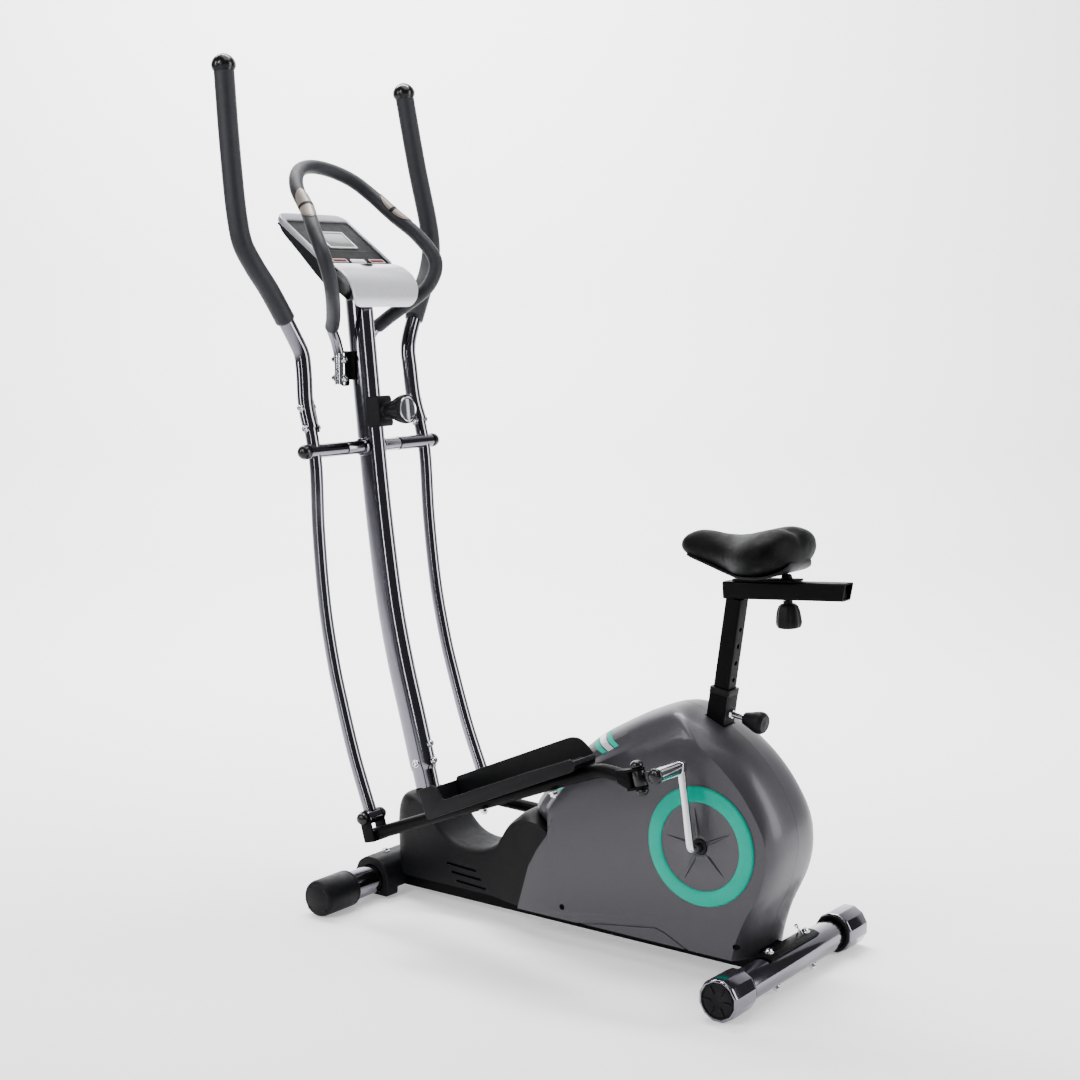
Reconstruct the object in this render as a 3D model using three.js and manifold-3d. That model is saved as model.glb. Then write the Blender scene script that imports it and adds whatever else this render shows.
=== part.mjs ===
// A magnetic elliptical trainer with a seat, modelled in millimetres.
// X runs from the console (front) to the seat (rear), +Y is the rider's right and Z is up.
// The origin is on the floor, under the middle of the machine.
import * as THREE from 'three';
import { mergeVertices } from 'three/addons/utils/BufferGeometryUtils.js';
import Module from 'manifold-3d';

const wasm = await Module();
wasm.setup();

// ---------------------------------------------------------------- driving dimensions
const GAP = 0.4;                      // clearance between neighbouring solids
const FRONT_FOOT_X = -376;            // axis of the front stabiliser
const REAR_FOOT_X = 498;              // axis of the rear stabiliser
const STABILISER_R = 28;
const FRONT_HALF = 246;               // half length over the front rollers
const REAR_HALF = 237;                // half length over the rear levellers
const ROLLER_R = 35;
const ROLLER_LENGTH = 88;
const LEVELLER_R = 37.5;              // across corners; the leveller has flats
const LEVELLER_FLATS = 12;
const LEVELLER_LENGTH = 70;
const LEVELLER_Z = LEVELLER_R * Math.cos(Math.PI / LEVELLER_FLATS);

const CRANK = { x: 373, z: 236 };     // crank axis
const CRANK_R = 145;
const CRANK_LEAN = 8.3;               // degrees the left crank leans forward of straight up
const ROD_R = 7;
const CRANK_Y = 118;                  // plane of each crank arm
const CRANK_END_Y = 130;              // the crank pins end here

const SHAFT = { x: -443, z: 877 };    // cross shaft that carries the swing arms
const ROCKER = 700;                   // cross shaft to link pivot
const COUPLER = 690;                  // link pivot to crank pin
const ARM_Y = 160;
const ARM_R = 15;
const ARM_WALL = 2;

const HOUSING_HALF = 85;
const HOUSING_WALL = 3;
const RING_OUTER = 105;
const RING_INNER = 79;

const RAIL = { front: -347, rear: 469, half: 30, low: 16, high: 56, wall: 3 };
const POST_HALF_WIDTH = 20;
const POST_HALF_DEPTH = 30;
const POST_WALL = 2;
const POST_JOINT_Z = 244;             // where the main post slips over its socket

const SEAT_TILT = 8;                  // degrees the seat post leans back
const SLIDE_TILT = 4.2;               // degrees the saddle slide rises to the rear
const SEAT_TUBE = 30;                 // square tube, outside
const SOCKET_TUBE = 36;

const FLYWHEEL = { x: 175, z: 170, r: 88, low: -22, high: 14 };
const BELT_Y = { low: 28, high: 44 };
const PULLEY_R = 92;
const SMALL_PULLEY_R = 20;
const BRAKE = { x: 60, z: 140 };      // hinge of the magnet bracket

const SIDES = [{ name: 'left', sign: -1 }, { name: 'right', sign: 1 }];
const radians = THREE.MathUtils.degToRad;

// ---------------------------------------------------------------- materials
function finish(color, roughness, metalness) {
  return () => new THREE.MeshStandardMaterial({ color, roughness, metalness });
}
const blackChrome = finish(0x17171c, 0.18, 0.9);
const blackPaint = finish(0x1a1a1c, 0.45, 0.3);
const chrome = finish(0xc8c8cc, 0.12, 1.0);
const blackPlastic = finish(0x1c1c20, 0.5, 0.0);
const greyPlastic = finish(0x57545c, 0.45, 0.2);
const silverPlastic = finish(0xb9bac4, 0.35, 0.4);
const tealPlastic = finish(0x11b4a0, 0.4, 0.0);
const foam = finish(0x3b3b44, 0.9, 0.0);
const leatherette = finish(0x141416, 0.6, 0.0);
const glassPlastic = finish(0x6f7270, 0.1, 0.0);
const castIron = finish(0x55565a, 0.5, 0.8);
const beltRubber = finish(0x151515, 0.8, 0.0);

// ---------------------------------------------------------------- shape helpers
function solid(geometry) {
  const bare = geometry.clone();
  bare.deleteAttribute('normal');
  bare.deleteAttribute('uv');
  const merged = mergeVertices(bare, 1e-3);
  const corners = merged.index.array;
  const kept = [];
  for (let i = 0; i < corners.length; i += 3) {
    const [a, b, c] = corners.slice(i, i + 3);
    if (a !== b && b !== c && c !== a) kept.push(a, b, c);
  }
  return new wasm.Manifold(new wasm.Mesh({
    numProp: 3,
    vertProperties: new Float32Array(merged.attributes.position.array),
    triVerts: new Uint32Array(kept),
  }));
}

function geometryOf(manifold) {
  const mesh = manifold.getMesh();
  const geometry = new THREE.BufferGeometry();
  geometry.setAttribute('position', new THREE.BufferAttribute(mesh.vertProperties, 3));
  geometry.setIndex(new THREE.BufferAttribute(mesh.triVerts, 1));
  geometry.computeVertexNormals();
  return geometry;
}

function join(...pieces) {
  return geometryOf(pieces.map(solid).reduce((whole, piece) => whole.add(piece)));
}

function cut(piece, ...tools) {
  return geometryOf(tools.map(solid).reduce((left, tool) => left.subtract(tool), solid(piece)));
}

function overlap(first, second) {
  return geometryOf(solid(first).intersect(solid(second)));
}

function mirrored(geometry) {
  const flat = geometry.index ? geometry.toNonIndexed() : geometry.clone();
  const position = flat.attributes.position;
  const turned = new Float32Array(position.count * 3);
  for (let i = 0; i < position.count; i += 3) {
    [i, i + 2, i + 1].forEach((from, k) => {
      const to = (i + k) * 3;
      turned[to] = position.getX(from);
      turned[to + 1] = -position.getY(from);
      turned[to + 2] = position.getZ(from);
    });
  }
  const result = new THREE.BufferGeometry();
  result.setAttribute('position', new THREE.BufferAttribute(turned, 3));
  result.computeVertexNormals();
  return result;
}

// Shapes for the two sides are drawn for the rider's right and mirrored for the left.
function forSide(side, geometry) {
  return side.sign > 0 ? geometry : mirrored(geometry);
}

function block(x0, x1, y0, y1, z0, z1) {
  const box = new THREE.BoxGeometry(x1 - x0, y1 - y0, z1 - z0);
  return box.translate((x0 + x1) / 2, (y0 + y1) / 2, (z0 + z1) / 2);
}

// A round bar along Y, between y0 and y1.
function barY(x, z, radius, y0, y1, sides = 20) {
  const bar = new THREE.CylinderGeometry(radius, radius, y1 - y0, sides);
  return bar.translate(x, (y0 + y1) / 2, z);
}

function barZ(x, y, radius, z0, z1, sides = 16) {
  const bar = new THREE.CylinderGeometry(radius, radius, z1 - z0, sides).rotateX(Math.PI / 2);
  return bar.translate(x, y, (z0 + z1) / 2);
}

// A round bar between two points.
function barBetween(from, to, radius, sides = 14) {
  const along = new THREE.Vector3().subVectors(to, from);
  const bar = new THREE.CylinderGeometry(radius, radius, along.length(), sides);
  const turn = new THREE.Quaternion().setFromUnitVectors(
    new THREE.Vector3(0, 1, 0), along.clone().normalize());
  bar.applyQuaternion(turn);
  return bar.translate((from.x + to.x) / 2, (from.y + to.y) / 2, (from.z + to.z) / 2);
}

function ball(x, y, z, radius) {
  return new THREE.SphereGeometry(radius, 12, 6).translate(x, y, z);
}

// A profile of [radius, height] pairs turned about Z; it starts and ends on the axis.
function turnedZ(profile, sides = 24) {
  return turnedY(profile, sides).rotateX(Math.PI / 2);
}

// The same, turned about Y.
function turnedY(profile, sides = 24) {
  const lathe = new THREE.LatheGeometry(profile.map(([r, h]) => new THREE.Vector2(r, h)), sides);
  return solid(lathe).volume() < 0 ? mirrored(geometryOf(solid(mirrored(lathe)))) : geometryOf(solid(lathe));
}

function roundShape(outerX, outerY, wall, sides) {
  const ring = (rx, ry) => Array.from({ length: sides }, (_, i) => {
    const turn = (2 * Math.PI * i) / sides;
    return new THREE.Vector2(rx * Math.cos(turn), ry * Math.sin(turn));
  });
  const shape = new THREE.Shape(ring(outerX, outerY));
  if (wall > 0) shape.holes.push(new THREE.Path(ring(outerX - wall, outerY - wall)));
  return shape;
}

function spline(points) {
  return new THREE.CatmullRomCurve3(points.map((p) => new THREE.Vector3(...p)), false, 'centripetal');
}

// A tube of round section along a curve; no wall means a solid bar.
function pipe(curve, radius, wall, sides, steps) {
  return new THREE.ExtrudeGeometry(roundShape(radius, radius, wall, sides),
    { extrudePath: curve, steps, bevelEnabled: false, curveSegments: 1 });
}

// An XZ outline pulled along Y from y0 to y1.
function plate(outline, y0, y1, holes = []) {
  const shape = new THREE.Shape(outline.map(([x, z]) => new THREE.Vector2(x, z)));
  for (const hole of holes) {
    shape.holes.push(new THREE.Path(hole.map(([x, z]) => new THREE.Vector2(x, z))));
  }
  const slab = new THREE.ExtrudeGeometry(shape, { depth: y1 - y0, bevelEnabled: false });
  return slab.rotateX(Math.PI / 2).translate(0, y1, 0);
}

function circle(x, z, radius, sides, from = 0, to = 360) {
  const full = to - from >= 360;
  const count = full ? sides : sides + 1;
  return Array.from({ length: count }, (_, i) => {
    const turn = radians(from + ((to - from) * i) / sides);
    return [x + radius * Math.cos(turn), z + radius * Math.sin(turn)];
  });
}

// A skin through sections that each hold the same number of [x, y, z] points.
function loft(sections) {
  const count = sections[0].length;
  const vertices = sections.flat(2);
  const index = [];
  for (let s = 0; s + 1 < sections.length; s += 1) {
    for (let i = 0; i < count; i += 1) {
      const a = s * count + i;
      const b = s * count + ((i + 1) % count);
      index.push(a, b, a + count, b, b + count, a + count);
    }
  }
  const ends = [[0, 1], [sections.length - 1, -1]];
  for (const [which, way] of ends) {
    const flat = sections[which].map(([x, , z]) => new THREE.Vector2(x, z));
    const turnOver = (way > 0) !== THREE.ShapeUtils.isClockWise(flat);
    for (const face of THREE.ShapeUtils.triangulateShape(flat, [])) {
      const corners = face.map((corner) => corner + which * count);
      index.push(...(turnOver ? corners.reverse() : corners));
    }
  }
  const geometry = new THREE.BufferGeometry();
  geometry.setAttribute('position', new THREE.Float32BufferAttribute(vertices, 3));
  geometry.setIndex(index);
  return solid(geometry).volume() < 0 ? flipped(geometry) : geometry;
}

function flipped(geometry) {
  const index = geometry.index.array;
  for (let i = 0; i < index.length; i += 3) {
    [index[i], index[i + 1]] = [index[i + 1], index[i]];
  }
  return geometry;
}

// ---------------------------------------------------------------- the scene graph
const trainer = new THREE.Group();
trainer.name = 'elliptical_trainer';

function add(name, geometry, material, parent = trainer) {
  const mesh = new THREE.Mesh(geometry, material());
  mesh.name = name;
  parent.add(mesh);
  return mesh;
}

// The closed four-bar is solved once: each link pivot is ROCKER from the cross shaft and
// COUPLER from its crank pin, on the front side.
function linkPivot(pin) {
  const dx = SHAFT.x - pin.x;
  const dz = SHAFT.z - pin.z;
  const reach = Math.hypot(dx, dz);
  const along = (COUPLER ** 2 - ROCKER ** 2 + reach ** 2) / (2 * reach);
  const across = Math.sqrt(COUPLER ** 2 - along ** 2);
  return {
    x: pin.x + (along * dx - across * dz) / reach,
    z: pin.z + (along * dz + across * dx) / reach,
  };
}

function crankPin(sign) {
  const lean = radians(CRANK_LEAN);
  return {
    x: CRANK.x + sign * CRANK_R * Math.sin(lean),
    z: CRANK.z - sign * CRANK_R * Math.cos(lean),
  };
}

for (const side of SIDES) {
  side.pin = crankPin(side.sign);
  side.pivot = linkPivot(side.pin);
  side.swing = Math.atan2(side.pivot.x - SHAFT.x, SHAFT.z - side.pivot.z);
  side.slope = Math.atan2(side.pin.z - side.pivot.z, side.pin.x - side.pivot.x);
}

// ---------------------------------------------------------------- base frame
const postCurve = spline([
  [-263, 0, 56], [-290, 0, 155], [-314, 0, POST_JOINT_Z], [-343, 0, 349], [-370, 0, 444],
  [-396, 0, 555], [-420, 0, 706], [-443, 0, 894], [-465, 0, 1102], [-474, 0, 1192],
]);

// The part of the post's centre line between two heights.
function postPart(low, high) {
  const count = Math.max(3, Math.round((high - low) / 70));
  const points = [];
  for (let i = 0; i <= count; i += 1) points.push(postAt(low + ((high - low) * i) / count));
  return new THREE.CatmullRomCurve3(points, false, 'centripetal');
}

function postAt(z) {
  let low = 0;
  let high = 1;
  for (let i = 0; i < 30; i += 1) {
    const middle = (low + high) / 2;
    if (postCurve.getPoint(middle).z < z) low = middle;
    else high = middle;
  }
  return postCurve.getPoint(low);
}

function ovalTube(curve, inset, wall, steps) {
  const shape = roundShape(POST_HALF_WIDTH - inset, POST_HALF_DEPTH - inset, wall, 14);
  return new THREE.ExtrudeGeometry(shape, { extrudePath: curve, steps, bevelEnabled: false });
}

const seatTurn = radians(SEAT_TILT);
const seatAxis = new THREE.Vector3(Math.sin(seatTurn), 0, Math.cos(seatTurn));
const SEAT_FOOT = new THREE.Vector3(366, 0, 500);      // a point on the seat post's axis

// A square tube along the seat post's axis, between two distances from SEAT_FOOT.
function seatTube(size, wall, from, to) {
  const outer = block(-size / 2, size / 2, -size / 2, size / 2, from, to);
  const half = size / 2 - wall;
  const bore = block(-half, half, -half, half, from - 1, to + 1);
  return cut(outer, bore).rotateY(seatTurn).translate(SEAT_FOOT.x, 0, SEAT_FOOT.z);
}

function cradle(x, z, fromDegrees, toDegrees, half) {
  const inner = circle(x, z, STABILISER_R + GAP, 8, fromDegrees, toDegrees);
  const outer = circle(x, z, STABILISER_R + 4.5, 8, fromDegrees, toDegrees).reverse();
  return plate([...inner, ...outer], -half, half);
}

function mainFrame() {
  const { front, rear, half, low, high, wall } = RAIL;
  const rail = cut(
    block(front, rear, -half, half, low, high),
    block(front - 1, rear + 1, wall - half, half - wall, low + wall, high - wall));
  const socket = ovalTube(postPart(50, POST_JOINT_Z + 60), POST_WALL + 1, 3, 8);
  const shell = barY(CRANK.x, CRANK.z, 20, -26, 26, 24);
  const upright = block(CRANK.x - 16, CRANK.x + 16, -8, 8, high - 1, CRANK.z - 16);
  const wheelPlate = (y0, y1) => plate([
    [FLYWHEEL.x - 16, high - 1], [FLYWHEEL.x + 16, high - 1],
    [FLYWHEEL.x + 14, FLYWHEEL.z + 12], [FLYWHEEL.x - 14, FLYWHEEL.z + 12]], y0, y1);
  const brakePlate = block(BRAKE.x - 10, BRAKE.x + 10, -4, 4, high - 1, BRAKE.z + 12);
  const brakePin = barY(BRAKE.x, BRAKE.z, 5, -14, 14, 12);
  const seatSocket = overlap(
    seatTube(SOCKET_TUBE, 2.6, -470, -3), block(250, 420, -40, 40, high - 2, 520));
  let frame = join(rail, socket, upright, shell, wheelPlate(-29.5, -25.5), wheelPlate(17.5, 21.5), brakePlate,
    brakePin, seatSocket,
    cradle(FRONT_FOOT_X, ROLLER_R, -25, 100, 45), cradle(REAR_FOOT_X, LEVELLER_Z, 60, 200, 84),
    block(rear - 6, rear - 1, -half, half, low, high),
    block(front + 1, front + 6, -half, half, low, high));
  const drain = barZ(0, 0, 8, low - 5, low + wall + 5);
  frame = cut(frame, barY(CRANK.x, CRANK.z, ROD_R + 1, -40, 40, 24),
    barY(FLYWHEEL.x, FLYWHEEL.z, 6.4, -40, 40, 14), drain);
  return frame;
}
add('main_frame', mainFrame(), blackPaint);

function stabiliser(x, z, half) {
  return cut(barY(x, z, STABILISER_R, -half, half, 24), barY(x, z, STABILISER_R - 2, -300, 300, 24));
}
add('front_stabiliser', stabiliser(FRONT_FOOT_X, ROLLER_R, FRONT_HALF - 8), blackChrome);
add('rear_stabiliser', stabiliser(REAR_FOOT_X, LEVELLER_Z, REAR_HALF - 8), blackChrome);

// A cup that slips over the end of a stabiliser tube.
function endCup(radius, length, half, sides, start = 0) {
  const cup = turnedY([
    [0, half - length], [radius - 3, half - length], [radius, half - length + 4],
    [radius, half - 5], [radius - 5, half], [0, half]], sides).rotateY(start);
  return cut(cup, barY(0, 0, STABILISER_R + GAP, half - length - 1, half - 7, 24));
}
for (const side of SIDES) {
  const roller = endCup(ROLLER_R, ROLLER_LENGTH, FRONT_HALF, 24).translate(FRONT_FOOT_X, 0, ROLLER_R);
  const leveller = endCup(LEVELLER_R, LEVELLER_LENGTH, REAR_HALF, LEVELLER_FLATS,
    Math.PI / LEVELLER_FLATS).translate(REAR_FOOT_X, 0, LEVELLER_Z);
  add(`front_roller_${side.name}`, forSide(side, roller), blackPlastic);
  add(`rear_leveller_${side.name}`, forSide(side, leveller), blackPlastic);
}

const coverArch = [
  [-42, 4], [-42, 48], [-32, 68], [-14, 78], [14, 78], [32, 68], [42, 48], [42, 4]];
function footCover(grow) {
  const outline = coverArch.map(([x, z]) => [FRONT_FOOT_X + x * (1 + grow / 40), z + grow]);
  return plate(outline, -90 - grow, 90 + grow);
}
const railSpace = block(-500, 600, -RAIL.half - GAP, RAIL.half + GAP, -1, RAIL.high + GAP);
add('front_foot_cover', cut(footCover(0),
  barY(FRONT_FOOT_X, ROLLER_R, STABILISER_R + 0.8, -100, 100, 24),
  barY(FRONT_FOOT_X, ROLLER_R, STABILISER_R + 5.5, -60, 60, 24),
  block(-365, -300, -RAIL.half - GAP, RAIL.half + GAP, -1, RAIL.high + GAP)), blackPlastic);

// ---------------------------------------------------------------- covers
const FLOOR_EDGE = 46;                // lower edge of the covers
const seam = [[-21, FLOOR_EDGE], [4, 131], [25, 168], [47, 198]];    // grey cover's front edge
// Matching outlines of the flat side panel and of the crown along the middle.
const sideOutline = [
  ...seam, [50, 212], [90, 268], [131, 317], [205, 352], [277, 386], [349, 420], [369, 409],
  [409, 379], [448, 342], [478, 301], [494, 269], [498, 244], [495, 200], [484, 163],
  [462, 124], [444, 80], [436, FLOOR_EDGE]];
const crownOutline = [
  ...seam, [7, 262], [76, 345], [125, 385], [175, 415], [232, 444], [292, 464], [333, 452],
  [393, 424], [449, 380], [490, 325], [509, 283], [515, 246], [510, 206], [497, 162],
  [480, 122], [468, 80], [461, FLOOR_EDGE]];

function blend(from, to, share) {
  return from.map(([x, z], i) => [x + (to[i][0] - x) * share, z + (to[i][1] - z) * share]);
}

function shrunk(outline, centre, share, floor) {
  return outline.map(([x, z]) => [
    centre[0] + (x - centre[0]) * share,
    z <= FLOOR_EDGE ? floor : centre[1] + (z - centre[1]) * share]);
}

function housingSolid(share, half, floor) {
  const centre = [250, 220];
  const levels = [[0, 1], [0.42, 0.97], [0.76, 0.72], [0.94, 0.3], [1, 0]];
  return loft(levels.map(([out, crown]) => {
    const y = GAP / 2 + (half - GAP / 2) * out;
    const outline = shrunk(blend(sideOutline, crownOutline, crown), centre, share, floor);
    return outline.map(([x, z]) => [x, y, z]);
  }));
}

const seatHole = block(-20, 20, -20, 20, -300, 60).rotateY(seatTurn)
  .translate(SEAT_FOOT.x, 0, SEAT_FOOT.z);

function housing() {
  const hollow = housingSolid(0.975, HOUSING_HALF - HOUSING_WALL, -10).translate(0, -GAP, 0);
  return cut(housingSolid(1, HOUSING_HALF, FLOOR_EDGE), hollow, seatHole,
    barY(CRANK.x, CRANK.z, 15, 60, 100, 24), railSpace);
}

// The black front shroud wraps the foot of the main post and flares out to meet the grey cover.
const shroudSide = [
  [-312, FLOOR_EDGE], [-316, 110], [-316, 150], [-313, 182], [-303, 196], [-276, 196],
  [-257, 178], [-235, 150], [-205, 128], [-165, 118], [-120, 123], [-93, 140], [-73, 170],
  [-57, 200], [-20, 230], [22, 236], [46, 198], [24, 168], [3, 131], [-22, FLOOR_EDGE]];
const shroudCrown = [
  [-347, FLOOR_EDGE], [-351, 110], [-352, 150], [-346, 186], [-332, 206], [-276, 206],
  [-250, 186], [-230, 158], [-205, 139], [-165, 130], [-120, 136], [-92, 153], [-74, 182],
  [-62, 205], [-25, 237], [6, 261], [46, 198], [24, 168], [3, 131], [-22, FLOOR_EDGE]];

function flare(x) {
  const share = THREE.MathUtils.smoothstep(x, -120, 20);
  return 56 + (HOUSING_HALF - 3 - 56) * share;
}

function shroudSolid(share, inset, floor) {
  const centre = [-180, 90];
  const levels = [[0, 1], [0.6, 0.95], [0.87, 0.55], [1, 0]];
  return loft(levels.map(([out, crown]) => {
    const outline = blend(shroudSide, shroudCrown, crown);
    return shrunk(outline, centre, share, floor)
      .map(([x, z]) => [x, GAP / 2 + (flare(x) - inset - GAP / 2) * out, z]);
  }));
}

const socketSpace = ovalTube(postPart(40, POST_JOINT_Z + 40), -1.2, 0, 8);

function shroud() {
  const hollow = shroudSolid(0.955, HOUSING_WALL, -10).translate(0, -GAP, 0);
  const half = cut(shroudSolid(1, 0, FLOOR_EDGE), hollow, socketSpace, railSpace, footCover(0.5));
  const pieces = solid(half).decompose().sort((a, b) => b.volume() - a.volume());
  return geometryOf(pieces[0]);
}

const housingRight = housing();
const shroudRight = shroud();
const ring = plate(circle(CRANK.x, CRANK.z, RING_OUTER, 32), HOUSING_HALF + GAP, HOUSING_HALF + 4,
  [circle(CRANK.x, CRANK.z, RING_INNER, 32).reverse()]);
for (const side of SIDES) {
  add(`housing_${side.name}`, forSide(side, housingRight), greyPlastic);
  add(`front_shroud_${side.name}`, forSide(side, shroudRight), blackPlastic);
  add(`side_ring_${side.name}`, forSide(side, ring), tealPlastic);
}

// ---------------------------------------------------------------- main post and cross shaft
const SHAFT_TUBE_R = 13;
const AXLE_R = 8;
function mainPost() {
  const tube = ovalTube(postPart(POST_JOINT_Z + 2, 1186), 0, POST_WALL, 11);
  const shaftHole = barY(SHAFT.x, SHAFT.z, SHAFT_TUBE_R + GAP, -60, 60, 20);
  const cheeks = [-1, 1].map((s) => {
    const [y0, y1] = [s * 16, s * 25].sort((a, b) => a - b);
    return block(-497, -462, y0, y1, 1006, 1062);
  });
  const postCore = ovalTube(postPart(990, 1080), POST_WALL, 0, 6);
  return cut(join(tube, ...cheeks), shaftHole, postCore);
}
add('main_post', mainPost(), blackChrome);

add('cross_shaft', join(
  barY(SHAFT.x, SHAFT.z, SHAFT_TUBE_R, -76, 76, 20),
  barY(SHAFT.x, SHAFT.z, AXLE_R, -186, 186, 16)), chrome);

const shaftCap = turnedY([[0, 181], [AXLE_R + GAP, 181], [12, 181], [14, 186], [13, 193], [8, 199], [0, 201]], 20);
const shaftCapShell = cut(shaftCap, barY(0, 0, AXLE_R + GAP, 170, 186.4, 16))
  .translate(SHAFT.x, 0, SHAFT.z);
for (const side of SIDES) {
  add(`shaft_cap_${side.name}`, forSide(side, shaftCapShell), blackPlastic);
}

// ---------------------------------------------------------------- tension control
const TENSION_Z = 945;
const tensionTilt = radians(-6);
function tensionBase() {
  const housingBlock = block(-20, 22, -20, 20, -29, 29);
  const boss = new THREE.CylinderGeometry(14, 16, 8, 20).rotateZ(-Math.PI / 2).translate(25, 0, 0);
  const placed = join(housingBlock, boss).rotateY(tensionTilt).translate(-425, 0, TENSION_Z);
  return cut(placed, ovalTube(postPart(880, 1010), -GAP, 0, 6));
}
add('tension_base', tensionBase(), blackPlastic);

const tensionKnob = turnedZ([
  [0, 0], [15, 0], [17, 6], [19, 14], [27, 36], [28.5, 43], [27, 47], [20, 48], [0, 48]], 24)
  .rotateY(Math.PI / 2).translate(29.5, 0, 0).rotateY(tensionTilt).translate(-425, 0, TENSION_Z);
add('tension_knob', tensionKnob, blackPlastic);

// ---------------------------------------------------------------- console
const consoleGroup = new THREE.Group();
consoleGroup.position.set(-523, 0, 1272);
consoleGroup.rotation.y = radians(35.6);
trainer.add(consoleGroup);

const FACE = { front: -70, rear: 79, half: 88, low: -3, high: 0 };
const windows = {
  lcd_lens: { x: [-28, 14], y: [-30, 30] },
  button_left: { x: [57, 71], y: [-76, -32] },
  button_right: { x: [57, 71], y: [32, 76] },
  button_centre: { x: [58, 70], y: [-20, 20] },
};

const consoleWedge = [
  [-80, -9], [-86, -12], [-62, -22], [52, -36], [84, -40], [92, -30], [84, -9]];
function consoleShell() {
  const wedge = plate(consoleWedge, -93, 93);
  const hollow = plate([[-70, -8], [-66, -16], [50, -31], [80, -34], [84, -27], [79, -8]], -89, 89);
  const foot = block(-476 - 22, -476 + 22, -26, 26, 1187, 1222)
    .translate(523, 0, -1272).rotateY(-radians(35.6));
  const seat = block(-16, 60, -60, 60, -60, -33.5);
  return cut(join(cut(wedge, hollow), overlap(foot, seat)), block(-100, 120, -100, 100, -9, 20));
}
add('console_shell', consoleShell(), blackPlastic, consoleGroup);

const lipOuter = [
  [80, 2], [96, 4], [112, 7], [130, 6], [146, 0], [157, -9], [163, -20], [165, -32]];
const lipInner = [
  [160, -32], [158, -21], [153, -12], [143, -4], [129, 1], [112, 2], [96, -1], [80, -3]];
function consoleTrim() {
  const rails = [-1, 1].map((s) => {
    const [y0, y1] = [s * (FACE.half + GAP), s * 97].sort((a, b) => a - b);
    return block(-84, 84, y0, y1, -8.5, 2);
  });
  const brow = plate([[-90, -8.5], [-84, 2], [FACE.front - GAP, 2], [FACE.front - GAP, -8.5]], -97, 97);
  const lip = plate([...lipOuter, ...lipInner], -97, 97);
  const corner = plate([[140, 20], [180, 20], [180, -50], [140, -50]], 84, 110);
  return join(...rails, brow, cut(lip, corner, mirrored(corner)));
}
add('console_trim', consoleTrim(), silverPlastic, consoleGroup);

const faceCuts = Object.values(windows).map(({ x, y }) => (
  block(x[0] - GAP, x[1] + GAP, y[0] - GAP, y[1] + GAP, -10, 10)));
const facePlate = block(FACE.front, FACE.rear, -FACE.half, FACE.half, FACE.low, FACE.high);
add('console_face', cut(facePlate, ...faceCuts), blackPlastic, consoleGroup);
for (const [name, { x, y }] of Object.entries(windows)) {
  const raised = name === 'lcd_lens' ? -1 : 2;
  const look = name === 'lcd_lens' ? glassPlastic : silverPlastic;
  add(name, block(x[0], x[1], y[0], y[1], -3, raised), look, consoleGroup);
}

// ---------------------------------------------------------------- fixed handlebar
const HANDLEBAR_R = 12.5;
const FOAM_R = 13.8;
const foamHalf = [
  [-484, 64, 1106], [-463, 82, 1128], [-412, 142, 1189], [-409, 161, 1235], [-443, 150, 1285],
  [-488, 123, 1329], [-531, 104, 1370], [-556, 80, 1396], [-577, 42, 1414]];
const loopTop = [-584.6, 0, 1420];
const otherHalf = (points) => points.map(([x, y, z]) => [x, -y, z]).reverse();
const foamCurve = spline([...foamHalf, loopTop, ...otherHalf(foamHalf)]);
const tubeHalf = [[-485, 39, 1006], [-486, 39, 1040], [-489, 46, 1078], ...foamHalf];
const tubeCurve = spline([...tubeHalf, loopTop, ...otherHalf(tubeHalf)]);
const CORE_R = 10;
add('handlebar_tube', pipe(tubeCurve, CORE_R, 2, 8, 34), blackChrome);
add('handlebar_foam', cut(pipe(foamCurve, FOAM_R, 0, 10, 30), pipe(tubeCurve, CORE_R + 0.8, 0, 8, 34)), foam);

function pulseSensor() {
  const along = new THREE.Vector3(-65, -42, 63).normalize();
  const centre = new THREE.Vector3(-490, 122.4, 1331);
  const from = centre.clone().addScaledVector(along, -34);
  const to = centre.clone().addScaledVector(along, 34);
  const sleeve = barBetween(from, to, FOAM_R + 2.4, 12);
  const core = pipe(foamCurve, FOAM_R + GAP, 0, 10, 30);
  const upper = block(-600, -300, 112, 200, 1200, 1500);
  const shell = overlap(cut(sleeve, core), upper);
  const pieces = solid(shell).decompose().sort((a, b) => b.volume() - a.volume());
  return geometryOf(pieces[0]);
}
const sensor = pulseSensor();
for (const side of SIDES) add(`pulse_sensor_${side.name}`, forSide(side, sensor), silverPlastic);

// ---------------------------------------------------------------- swing arms
// Drawn with the pivot at the origin and the left arm's rest lean, then turned to each side.
const BUSH_HALF = 17;
const PIN_R = 6;
const leanOf = SIDES[0].swing;
const lowerEnd = [ROCKER * Math.sin(leanOf), -ROCKER * Math.cos(leanOf)];
const lowerPath = spline([
  [-22, ARM_Y, 90], [-6, ARM_Y, 24], [2, ARM_Y, -24], [7, ARM_Y, -156], [21, ARM_Y, -302],
  [42, ARM_Y, -411], [57, ARM_Y, -467], [90, ARM_Y, -576], [lowerEnd[0] - 3, ARM_Y, lowerEnd[1] + 10]]);
const HANDLE_R = 15;
const handlePath = spline([
  [-7, ARM_Y, 34], [-22, 159, 85], [-28, 157, 150], [-32, 158, 182], [-37, 169, 209],
  [-47, 226, 302], [-54, 257, 346], [-62, 277, 386], [-69, 282, 430], [-92, 275, 564],
  [-111, 267, 702]]);

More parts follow.
